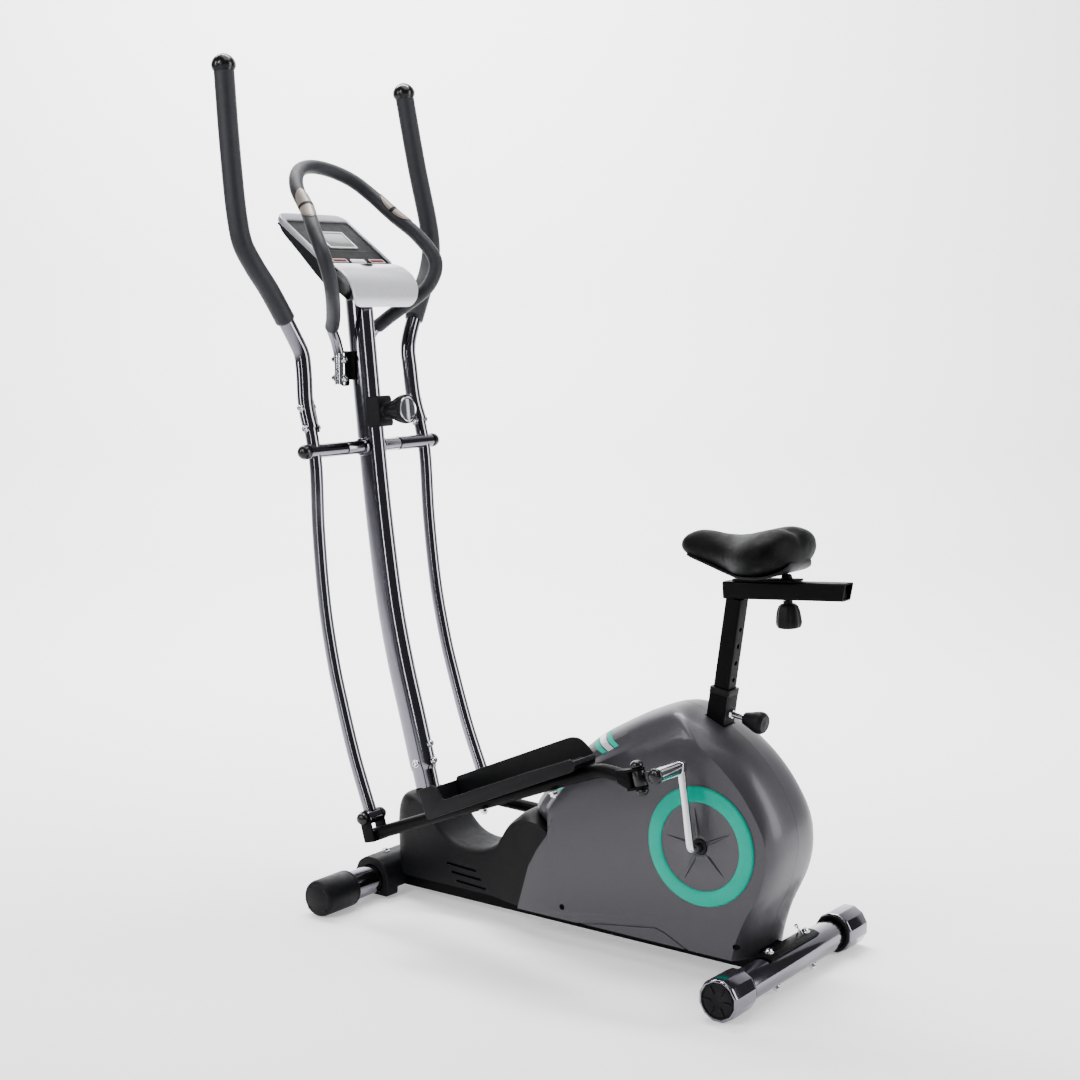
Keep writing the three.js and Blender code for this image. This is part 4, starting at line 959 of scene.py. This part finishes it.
def sensor_plate(path, centre, away, half_length, start, end, radius, half_turn):
    """A thin curved plate that hugs the sleeve, pointed at one end."""
    nearest = min(range(len(path)), key=lambda k: (path[k] - centre).length)
    rows = []
    steps = 26
    step_length = (path[1] - path[0]).length
    for i in range(steps + 1):
        along = start + (end - start) * i / steps
        at = nearest + along / step_length
        k = max(0, min(len(path) - 2, int(at)))
        point = path[k].lerp(path[k + 1], at - k)
        ahead = (path[k + 1] - path[k]).normalized()
        out = (away - ahead * away.dot(ahead)).normalized()
        side_way = ahead.cross(out)
        taper = max(0.04, 1 - (abs(along) / half_length) ** 2.6) ** 0.75
        ring = []
        for r, way in ((radius, 1), (radius - 1.2, -1)):
            for j in range(13):
                turn = half_turn * taper * (j / 6 - 1) * way
                ring.append(point + (out * cos(turn) + side_way * sin(turn)) * r)
        rows.append(ring)
    return skin(rows)


for side, sign in SIDES.items():
    put = side_pieces(side, "frame", mirror=False)
    centre = Vector((-490, sign * 122.4, 1331))
    away = Vector((0.55, sign * 0.45, 0.7))
    plates = [sensor_plate(foam_loop, centre, away, 40, a, b, 15.4, 1.25)
              for a, b in ((-40, -3.2), (3.2, 40))]
    put("hand_sensor", both(*plates), "sensor", "pulse_sensor", bevel=0.35, sharp=50)
    band = sensor_plate(foam_loop, centre, away, 60, -3.0, 3.0, 15.9, 1.5)
    put("sensor_band", band, "black_plastic")
    edge = sensor_plate(foam_loop, centre, away, 43, -42.6, 42.6, 14.9, 1.42)
    put("sensor_edge", edge, "sensor")

    clamp = plate(rounded([(-497, 994), (-473, 994), (-474, 1060), (-496, 1060)], 7),
                  *sorted((sign * 26.2, sign * 28.6)), edge=0.7)
    put("clamp_plate", clamp, "black_paint")
    parts = []
    bolt_y = sign * 40
    for z in (1046, 1010):
        parts.append(aimed(bolt_head(6.0, 4.4), (-474.2, bolt_y, z), (1, 0, 0)))
        parts.append(aimed(hex_nut(11, 6), (-496.8, bolt_y, z), (-1, 0, 0)))
        parts.append(along_y(bar(3.2, 16, 0.4, 16), -485.5, z, sign * 24, sign))
    saddle_clamp = sweep([(-485.3, sign * 39, 998), (-485.8, sign * 39, 1058)], 11.9, 40)
    parts.append(saddle_clamp)
    put("clamp", both(*parts), "chrome", sharp=35)
cheek_plates = [box(-496, -463, *sorted((s * 19.4, s * 25.4)), 1006, 1062) for s in (-1, 1)]
piece("bracket_cheeks", both(*cheek_plates), "frame", "black_paint", bevel=2.5, cuts=3)

# ---- swing arms
REST_LEAN = LINKAGE["left"][2]
END = (ROCKER * sin(radians(REST_LEAN)), -ROCKER * cos(radians(REST_LEAN)))
LOWER = [(-22, 90), (-6, 24), (2, -24), (7, -156), (21, -302), (42, -411), (57, -467),
         (90, -576), (END[0] - 3, END[1] + 10)]
HANDLE = [(-7, 160, 34), (-22, 159, 85), (-28, 157, 150), (-32, 158, 182), (-37, 169, 209),
          (-47, 226, 302), (-54, 257, 346), (-62, 277, 386), (-69, 282, 430), (-92, 275, 564),
          (-111, 267, 702)]


def rolled_end(radius):
    """A round tube that is rolled in at its first end."""
    def outline(share, turn):
        r = radius - 0.9 * max(0.0, 1 - share * 160)
        return r * cos(turn), r * sin(turn)
    return outline


for side, sign in SIDES.items():
    lean = LINKAGE[side][2]
    arm = shift(SHAFT[0], 0, SHAFT[1]) @ spin(REST_LEAN - lean, "Y")
    put = side_pieces(side, f"{side}_arm", arm)
    lower_path = smooth_path([(px, ARM_Y, pz) for px, pz in LOWER], 110)
    tube = sweep(lower_path, 12.4, 40)
    sleeve = along_y(lathe([(8.4, 0), (12.4, 0), (13.5, 1.1), (13.5, 98.9), (12.4, 100),
                            (8.4, 100), (8.4, 0)], 48), 0, 0, 79)
    bush = along_y(lathe([(6.4, 0), (12.6, 0), (14, 1.2), (14, 32.8), (12.6, 34), (6.4, 34),
                          (6.4, 0)], 44), *END, ARM_Y - 17)
    put("arm_tube", both(tube, bush), "black_chrome", "lower_arm")
    put("arm_sleeve", sleeve, "black_chrome")

    handle_path = smooth_path(HANDLE, 180)
    handle = sweep(handle_path[2:], rolled_end(15), 44)
    put("handle_tube", handle, "black_chrome", "upper_handle")
    grip_path = handle_path[56:181]
    grip = sweep(grip_path, foam_sleeve(19, roll=2.4, length=495), 48)
    put("grip_sleeve", grip, "foam", "foam_grip")
    tip = handle_path[-1]
    ahead = (handle_path[-1] - handle_path[-4]).normalized()
    knob = lathe([(0, -6), (17, -6), (18.6, -5), (19.2, -2), (21.6, 2.2), (22.8, 6.4), (22.8, 10),
                  (21.8, 14.5), (19.2, 19.4), (15.2, 23.8), (10, 27.4), (5, 29.4), (0, 30)], 56)
    put("handle_knob", aimed(knob, tip, ahead), "gloss_black", "handle_cap")

    fixings = []
    for z in (82, 43):
        middle = min(handle_path, key=lambda p: abs(p.z - z))
        fixings.append(aimed(bolt_head(5.6, 5), (middle.x, middle.y + 14.6, z), (0, 1, 0)))
        fixings.append(aimed(hex_nut(11.5, 6), (middle.x, middle.y - 14.6, z), (0, -1, 0)))
    low, high = (min(handle_path, key=lambda p: abs(p.z - z)) for z in (30, 96))
    strip = sweep([(p.x, p.y - 15.4, p.z) for p in (low, low.lerp(high, 0.5), high)], lambda share,
                  turn: (6.4 * max(-1, min(1, 1.3 * cos(turn))),
                         1.2 * max(-1, min(1, 1.3 * sin(turn)))), 20, up=(1, 0, 0))
    fixings.append(strip)
    put("handle_bolts", both(*fixings), "chrome")

    bolt = []
    for y, way in ((181.6, 1), (138.4, -1)):
        dome = lathe([(0, 0), (11, 0), (12, 1.2), (12, 4), (11.2, 7.4), (8.8, 10.8), (5, 13),
                      (0, 13.6)], 36)
        bolt.append(along_y(dome, *END, y, way))
    put("pivot_caps", both(*bolt), "gloss_black", "pivot_bolt")
    pin = along_y(bar(6, 42, 0.4, 28), *END, 139)
    put("pivot_pin", pin, "chrome")

# ---- pedal links
FORK = (651, 188)
LINK_LINE = [(-2, ARM_Y, -35), (270, 173, -7), (540, 184, 20), (575, 186, 21.5), (612, 187, 10),
             (628, 188, 4)]
TRAY_TILT = 7.5
TRAY_X, TRAY_Z, TRAY_FLOOR = 214, -12, 13
TRAY = shift(TRAY_X, 0, TRAY_Z) @ spin(-TRAY_TILT, "Y")


def tray_wall(points, y0, y1, corner):
    return plate(rounded(points, corner, 4), y0, y1, edge=1.6, rounds=3)


def footplate():
    """The pedal tray: skirt, tread floor, outer rail, inner guard and toe guard."""
    plan = [(2.5, 139), (322, 139), (352, 241), (2.5, 241)]
    parts = [
        flat(rounded(plan, 6), TRAY_FLOOR, TRAY_FLOOR + 4, edge=0.8),
        tray_wall([(0, 0), (349, 0), (357, 8), (353, 21), (250, 24), (51, 25), (45, 46), (38, 56),
                   (6, 56), (0, 50)], 241, 245, 5),
        tray_wall([(0, 0), (318, 0), (323, 14), (314, 36), (303, 52), (285, 58), (6, 58), (0, 50)],
                  135, 139.4, 9),
    ]
    front = plate(oblong(135.5, 244.5, 13, 52, 3), 0, 4.2, edge=1.2)
    parts.append(moved(front, spin(90, "Z") @ shift(0, -4.2, 0)))
    rear = plate(oblong(0, 109, 8, 17, 2.5), 0, 4, edge=1.2)
    parts.append(moved(rear, shift(323, 136, 0) @ spin(73.9, "Z")))
    return both(*parts)


def tread():
    """Rows of low rounded bars that the sole stands on."""
    bars = []
    for row in range(14):
        for column, (y0, y1) in enumerate(((147, 176), (180, 200), (204, 233))):
            u = 24 + row * 21 + (4 if column == 1 else 0)
            bars.append(moved(plate(oblong(0, 7, y0, y1, 3.2, 4), 0, 2.2, edge=0.8),
                              shift(u, 0, 16.9) @ spin(90, "X") @ Matrix.Scale(-1, 4, (0, 0, 1))))
    return both(*bars)


for side, sign in SIDES.items():
    pin, pivot, lean, slope = LINKAGE[side]
    at = shift(pivot.x, 0, pivot.y) @ spin(-slope, "Y")
    put = side_pieces(side, f"{side}_link", at)
    tube = sweep(smooth_path(LINK_LINE, 120), 12, 36)
    put("link_tube", tube, "black_paint", "link")
    lobe = [(-12.6, -44), (13.6, -44), (13.6, -8)] + circle(0, 0, 13.4, 14, 0, 180) + [(-12.6, -8)]
    bracket = [plate(lobe, y0, y1, holes=[circle(0, 0, 6.5, 24)], edge=0.7)
               for y0, y1 in ((138.8, 142.6), (177.4, 181.2))]
    web = plate(oblong(-13, 14, -47, -26, 3), 139.4, 180.6, edge=1)
    put("link_bracket", both(*bracket, web), "black_paint")

    thick = 4.6
    plates = [plate(oblong(629, FORK[0], z0, z0 + thick, 0.6), 176, 200, edge=0.5)
              for z0 in (13.4, -18)]
    ends = [moved(bar(12, thick, 0.5, 40), shift(*FORK, z0)) for z0 in (13.4, -18)]
    root = plate(rounded([(608, -2), (622, -12), (634, -18), (640, -18), (640, 18), (634, 18),
                          (620, 19), (608, 21)], 5), 177, 199, edge=5, rounds=4)
    put("fork", both(*plates, *ends, root), "black_paint")

    saddles = []
    for u0, u1 in ((246, 276), (500, 530)):
        rise = radians(TRAY_TILT)
        top = TRAY_Z + TRAY_FLOOR * cos(rise) + (u0 - TRAY_X) * tan(rise) - 1.2
        pad = plate(oblong(u0, u1, top - 8, top, 2), 150, 205, edge=1)
        saddles.append(pad)
    put("tray_pads", both(*saddles), "black_paint")
    nuts = []
    for u, y, v in ((300, 187, -13.5), (466, 190, -1.5)):
        nuts.append(aimed(hex_nut(12, 6.5), (u, y, v), (0.1, 0, -1)))
    put("tray_nuts", both(*nuts), "chrome")

    put("tray", moved(footplate(), TRAY), "black_plastic", "footplate", bevel=0.6, sharp=50)
    put("tread", moved(tread(), TRAY), "belt_rubber")
    heads = [aimed(bolt_head(6, 4), (u, y, 16.8), (0, 0, 1))
             for u, y in ((46, 168), (46, 202), (286, 168), (286, 202))]
    put("tray_bolts", moved(both(*heads), TRAY), "black_paint")

    caps = []
    for z, way in ((18.3, 1), (-18.3, -1)):
        dome = lathe([(0, 0), (9, 0), (10.8, 1.8), (11.2, 4.4), (10, 8), (6.6, 11), (3.2, 12.1),
                      (0, 12.3)], 32)
        caps.append(aimed(dome, (*FORK, z), (0, 0, way)))
    put("yoke_caps", both(*caps), "gloss_black", "yoke_bolt")
    stem = moved(bar(4, 37, 0.3, 24), shift(*FORK, -18.5))
    put("yoke_stem", stem, "chrome")

    put = side_pieces(side, f"{side}_yoke", at)
    sleeve = along_y(lathe([(8.2, 0), (12.2, 0), (13, 0.9), (13, 61), (8, 61), (8.2, 0)], 48),
                     COUPLER, 0, 134)
    put("yoke_sleeve", sleeve, "chrome", "yoke")
    block = plate(oblong(653, 691, -9, 9, 2.5), 168, 190, edge=1.4)
    eye = moved(bar(11.8, 25.4, 1, 40), shift(*FORK, -12.7))
    ball = along_y(lathe([(11, 0), (13.3, 0.8), (13.6, 3), (12.4, 6), (9, 8.6), (4.6, 9.8),
                          (0, 10.2)], 40), COUPLER, 0, 195)
    put("yoke_block", both(block, eye, ball), "gloss_black")

# ---- drive train
# The bent rod runs from the left pin through the bearings to the right pin.
ARM_OUT = 118
rod, eyes = [], []
for side, sign in SIDES.items():
    pin = LINKAGE[side][0]
    ends = [(pin.x, sign * 133.6, pin.y), (pin.x, sign * ARM_OUT, pin.y),
            (CRANK[0], sign * ARM_OUT, CRANK[1])]
    rod += ends if side == "left" else ends[::-1]
    eye = [(pin.x + px, pin.y + pz) for px, pz in oblong(-8.4, 8.4, -9.5, 9.5, 4)]
    eyes.append(plate(eye, *sorted((sign * 112, sign * 125)), edge=1.6))
piece("crank_bar", both(bent_rod(rod, 7, 11), *eyes), "crank", "chrome", ["crank_rod"])
for node, look in (("main_frame", "black_paint"), ("drive_pulley", "black_plastic"),
                   ("drive_belt", "belt_rubber"), ("flywheel", "cast_iron"),
                   ("magnet_bracket", "cast_iron")):
    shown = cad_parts[node].data
    shown.materials.clear()
    shown.materials.append(LOOKS[look])

# ---- seat post and slide
SLIDE_AT = shift(367, 0, 670) @ spin(-4.2, "Y")


def square_tube(size, wall, z0, z1, corner):
    """A square tube along Z with rounded corners."""
    half = size / 2
    outer = oblong(-half, half, -half, half, corner, 6)
    inner = oblong(wall - half, half - wall, wall - half, half - wall, corner * 0.7, 6)
    tube = plate(outer, 0, z1 - z0, holes=[inner], edge=0.4)
    return moved(tube, shift(0, 0, z0) @ spin(90, "X"))


piece("seat_sleeve", square_tube(36.6, 3, -92, -2.6, 5), "frame", "black_paint", place=SEAT)
collar = square_tube(39.4, 3.8, -12, -1.6, 5.5)
piece("seat_collar", collar, "frame", "black_plastic", place=SEAT)
upright = square_tube(30, 2.5, -150, 158, 4)
slide = square_tube(30, 2.5, 0.3, 233.5, 4)
slide.transform(SLIDE_AT @ spin(90, "Y"))
whole = both(moved(upright, SEAT), slide)
post = piece("seat_tube", whole, "seat_post", "black_paint", ["seat_post"], sharp=30)
slant = moved(box(0, 60, -30, 30, -60, 60), SLIDE_AT @ shift(234.2, 0, 15) @ spin(14, "Y"))
carve(post, slant, sharp=30)
plug = moved(plate(oblong(-12.2, 12.2, -12.2, 12.2, 3), 0, 2, edge=0.6), SLIDE_AT @ spin(90, "Y")
             @ shift(0, 0, 220) @ spin(90, "X"))
piece("slide_plug", plug, "seat_post", "black_plastic")
carve(post, *[moved(aimed(bar(4.4, 8, 0.3, 24), (9, 0, z), (1, 0, 0)), SEAT)
              for z in (-15, 15, 45, 75, 105)], sharp=30)

carriage = plate(oblong(19, 142, 15.4, 19.6, 1.6), -14, 14, edge=1.2)
stem = moved(bar(11, 22, 1, 36), shift(59, 0, 18))
clamp = plate(rounded([(42, 26), (76, 26), (78, 34), (72, 40), (46, 40), (40, 34)], 4), -24, 24,
              edge=2.4, rounds=3)
nub = moved(lathe([(0, 0), (9, 0), (9.4, 2), (8.8, 6.4), (6.6, 8.6), (0, 9)], 32),
            shift(118, 0, 19.2))
piece("saddle_carriage", both(carriage, stem, clamp, nub), "saddle", "black_paint",
      ["saddle_clamp"], place=SLIDE_AT)
clamp_bolts = [along_y(both(bolt_head(6.5, 4.4)), 59, 33, s * 24, s) for s in (-1, 1)]
stud = moved(bar(4, 44, 0.4, 24), shift(118, 0, -24))
piece("saddle_fixings", both(*clamp_bolts, stud), "saddle", "chrome", place=SLIDE_AT)

# The star knob below the slide has eight flutes.
rows = []
for radius, height, depth in ((0.01, -64, 0), (14, -64, 0), (19, -62.6, 0.6), (21.6, -58, 1.6),
                              (22.2, -53, 2.2), (21.4, -44, 2.4), (19.6, -34, 2.2),
                              (16.6, -26, 1.2), (12, -22.4, 0.3), (8.2, -21.4, 0), (8, -17.2, 0),
                              (0.01, -17.2, 0)):
    turns = [2 * pi * k / 96 for k in range(96)]
    fluted = [(t, radius - depth * (0.5 + 0.5 * cos(8 * t))) for t in turns]
    rows.append([(r * cos(t), r * sin(t), height) for t, r in fluted])
piece("slide_star", skin(rows), "slide_knob", "black_plastic", ["slide_knob"],
      place=SLIDE_AT @ shift(118, 0, 0))

PULL = SEAT @ shift(0, 0, -45) @ spin(90, "Y")
shaft = lathe([(0, 18.5), (5, 18.5), (5, 51.2), (0, 51.2)], 32)
nut = lathe([(4.9, 18.5), (8.6, 18.5), (8.6, 22.4), (7.6, 23.6), (4.9, 23.6)], 6)
piece("pull_shaft", both(shaft, nut), "height_knob", "chrome", place=PULL)
knob = lathe([(0, 46), (8.6, 46), (10.6, 47.4), (12.4, 53), (14.6, 60), (17.2, 67), (19, 73),
              (19.6, 78), (18.8, 83), (15.8, 87), (15, 87.6), (13.6, 87.2), (7, 88.4), (0, 88.8)],
             56)
piece("pull_knob", knob, "height_knob", "black_plastic", ["height_knob"], place=PULL)

# ---- saddle
# Along the saddle from nose to tail: x, half width, underside z, top z, share of the width
# that the underside keeps.
RIBS = [(277, 5, 739, 746, 0.7), (280, 14, 733, 753, 0.7), (290, 22.5, 727, 762, 0.7),
        (308, 27.5, 721, 767.5, 0.72), (335, 31.5, 714, 767, 0.74), (362, 38, 707, 763.5, 0.74),
        (388, 51, 701.5, 763, 0.7), (412, 70, 698.5, 767, 0.66), (438, 87, 700, 775, 0.64),
        (462, 95, 703, 781.5, 0.66), (482, 93, 708, 784, 0.7), (497, 80, 715, 783, 0.74),
        (506, 60, 723, 778, 0.78), (511, 34, 735, 768, 0.8)]


def saddle_section(px, half, low, high, keep):
    """A domed section that is widest a little below its middle and tucks in underneath."""
    ring = []
    waist = low + (high - low) * 0.42
    count = 56
    for k in range(count):
        turn = 2 * pi * k / count
        c, s = cos(turn), sin(turn)
        if s >= 0:
            y = half * copysign(abs(c) ** 0.86, c)
            z = waist + (high - waist) * abs(s) ** 0.78
        else:
            y = half * copysign(abs(c) ** 0.7, c) * (keep + (1 - keep) * (1 - abs(s)))
            z = waist - (waist - low) * abs(s) ** 0.9
        rear = max(0.0, min(1.0, (px - 400) / 60))
        dip = 5.0 * rear * exp(-(y / 13) ** 2) if s > 0 else 0.0
        ring.append((px, y, z - dip))
    return ring


def interpolated(rows, count):
    """The rib table with more stations, smoothed between its rows."""
    firsts = smooth_path([(r[0], r[1], r[2]) for r in rows], count)
    out = []
    for p in firsts:
        k = max(0, min(len(rows) - 2, sum(r[0] <= p.x for r in rows) - 1))
        share = (p.x - rows[k][0]) / (rows[k + 1][0] - rows[k][0])
        high = rows[k][3] + (rows[k + 1][3] - rows[k][3]) * share
        keep = rows[k][4] + (rows[k + 1][4] - rows[k][4]) * share
        out.append((p.x, p.y, p.z, high, keep))
    return out


def inflate(obj, cap):
    """Swells a closed skin with cloth pressure, and keeps each point within cap metres."""
    bpy.context.view_layer.objects.active = obj
    remesh = obj.modifiers.new("remesh", "REMESH")
    remesh.mode = "VOXEL"
    remesh.voxel_size = 0.005
    bake(obj)
    rest = [v.co.copy() for v in obj.data.vertices]
    cloth = obj.modifiers.new("cloth", "CLOTH")
    cloth.settings.use_pressure = True
    cloth.settings.uniform_pressure_force = 4
    cloth.settings.effector_weights.gravity = 0
    scene = bpy.context.scene
    for number in range(1, 21):
        scene.frame_set(number)
    graph = bpy.context.evaluated_depsgraph_get()
    swollen = [v.co.copy() for v in obj.evaluated_get(graph).data.vertices]
    obj.modifiers.clear()
    for vertex, start, end in zip(obj.data.vertices, rest, swollen):
        way = end - start
        reach = min(way.length, cap)
        vertex.co = start + way.normalized() * reach if way.length else start
    scene.frame_set(1)


rings = [saddle_section(*row) for row in interpolated(RIBS, 60)]
pad = piece("saddle_pad", skin(rings), "saddle", "leatherette", ["saddle"], sharp=180)
inflate(pad, 0.0025)
ease = pad.modifiers.new("ease", "SMOOTH")
ease.iterations, ease.factor = 4, 0.5
fine = pad.modifiers.new("fine", "SUBSURF")
fine.levels = fine.render_levels = 1
bake(pad)
shade(pad, 180)
pad.data.materials.clear()
pad.data.materials.append(LOOKS["leatherette"])


base = []
for px, half, low, high, keep in interpolated(RIBS, 40)[4:-2]:
    base.append([(px, half * keep * 0.93 * cos(t), low + 3.2 - 4.6 * (sin(t) < 0))
                 for t in [radians(k * 15 + 7.5) for k in range(24)]])
piece("saddle_base", skin(base), "saddle", "black_plastic", bevel=1.0)

# ---- floor, light and camera
def stage_material(name, color, rough):
    mat = bpy.data.materials.new(name)
    mat.use_nodes = True
    set_inputs(mat.node_tree.nodes["Principled BSDF"], Base_Color=(*color, 1), Roughness=rough,
               Emission_Color=(*color, 1), Emission_Strength=0.45)
    return mat


sheet = bmesh.new()
profile = [(-9, 0), (3.0, 0), (3.8, 0.12), (4.4, 0.5), (4.7, 1.2), (4.8, 7)]
for low, high in zip(profile, profile[1:]):
    corners = [(px, py, pz) for (py, pz), xs in ((low, (-9, 9)), (high, (9, -9))) for px in xs]
    sheet.faces.new([sheet.verts.new(c) for c in corners])
sheet.transform(spin(36.5, "Z"))
bmesh.ops.remove_doubles(sheet, verts=sheet.verts, dist=1e-5)
floor = shown_mesh("floor", sheet)
floor.data.polygons.foreach_set("use_smooth", [True] * len(floor.data.polygons))
floor.data.materials.append(stage_material("pale_floor", (0.86, 0.86, 0.87), 0.7))
floor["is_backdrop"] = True

world = bpy.data.worlds.new("studio")
bpy.context.scene.world = world
world.use_nodes = True
set_inputs(world.node_tree.nodes["Background"], Color=(0.95, 0.96, 1.0, 1), Strength=0.12)


def softbox(name, place, target, size, power):
    light = bpy.data.lights.new(name, "AREA")
    light.shape = "RECTANGLE"
    light.size, light.size_y = size
    light.energy = power
    lamp = show(name, light)
    lamp.location = place
    lamp.rotation_mode = "QUATERNION"
    lamp.rotation_quaternion = (Vector(target) - Vector(place)).to_track_quat("-Z", "Y")


for lamp in (("key", (-0.5, -3.3, 2.8), (0, 0, 0.7), (0.6, 1.8), 80),
             ("side", (3.3, 1.3, 1.7), (0.1, 0, 0.8), (1.5, 3.0), 130),
             ("top", (0.2, 0.3, 3.8), (0.1, 0, 0.5), (3.0, 2.2), 95),
             ("left", (-2.2, -2.9, 2.0), (-0.35, 0, 1.1), (0.5, 2.2), 55),
             ("edge", (0.55, -3.6, 1.5), (0.2, 0, 0.5), (0.16, 2.4), 22),
             ("wash", (-1.6, 0.8, 3.9), (-2.6, 4.2, 0.6), (3.6, 1.2), 700)):
    softbox(*lamp)

eye = bpy.data.cameras.new("camera")
eye.sensor_width = 36
eye.lens = 61.3
eye.shift_x, eye.shift_y = 0.0037, 0.0028
eye.clip_start, eye.clip_end = 0.1, 40
camera = show("camera", eye)
camera.location = (1.961, -2.70, 1.17)
camera.rotation_mode = "QUATERNION"
camera.rotation_quaternion = Vector((-0.5902, 0.7961, -0.1336)).to_track_quat("-Z", "Y")
bpy.context.scene.camera = camera

shown = [list(corner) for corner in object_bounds()]
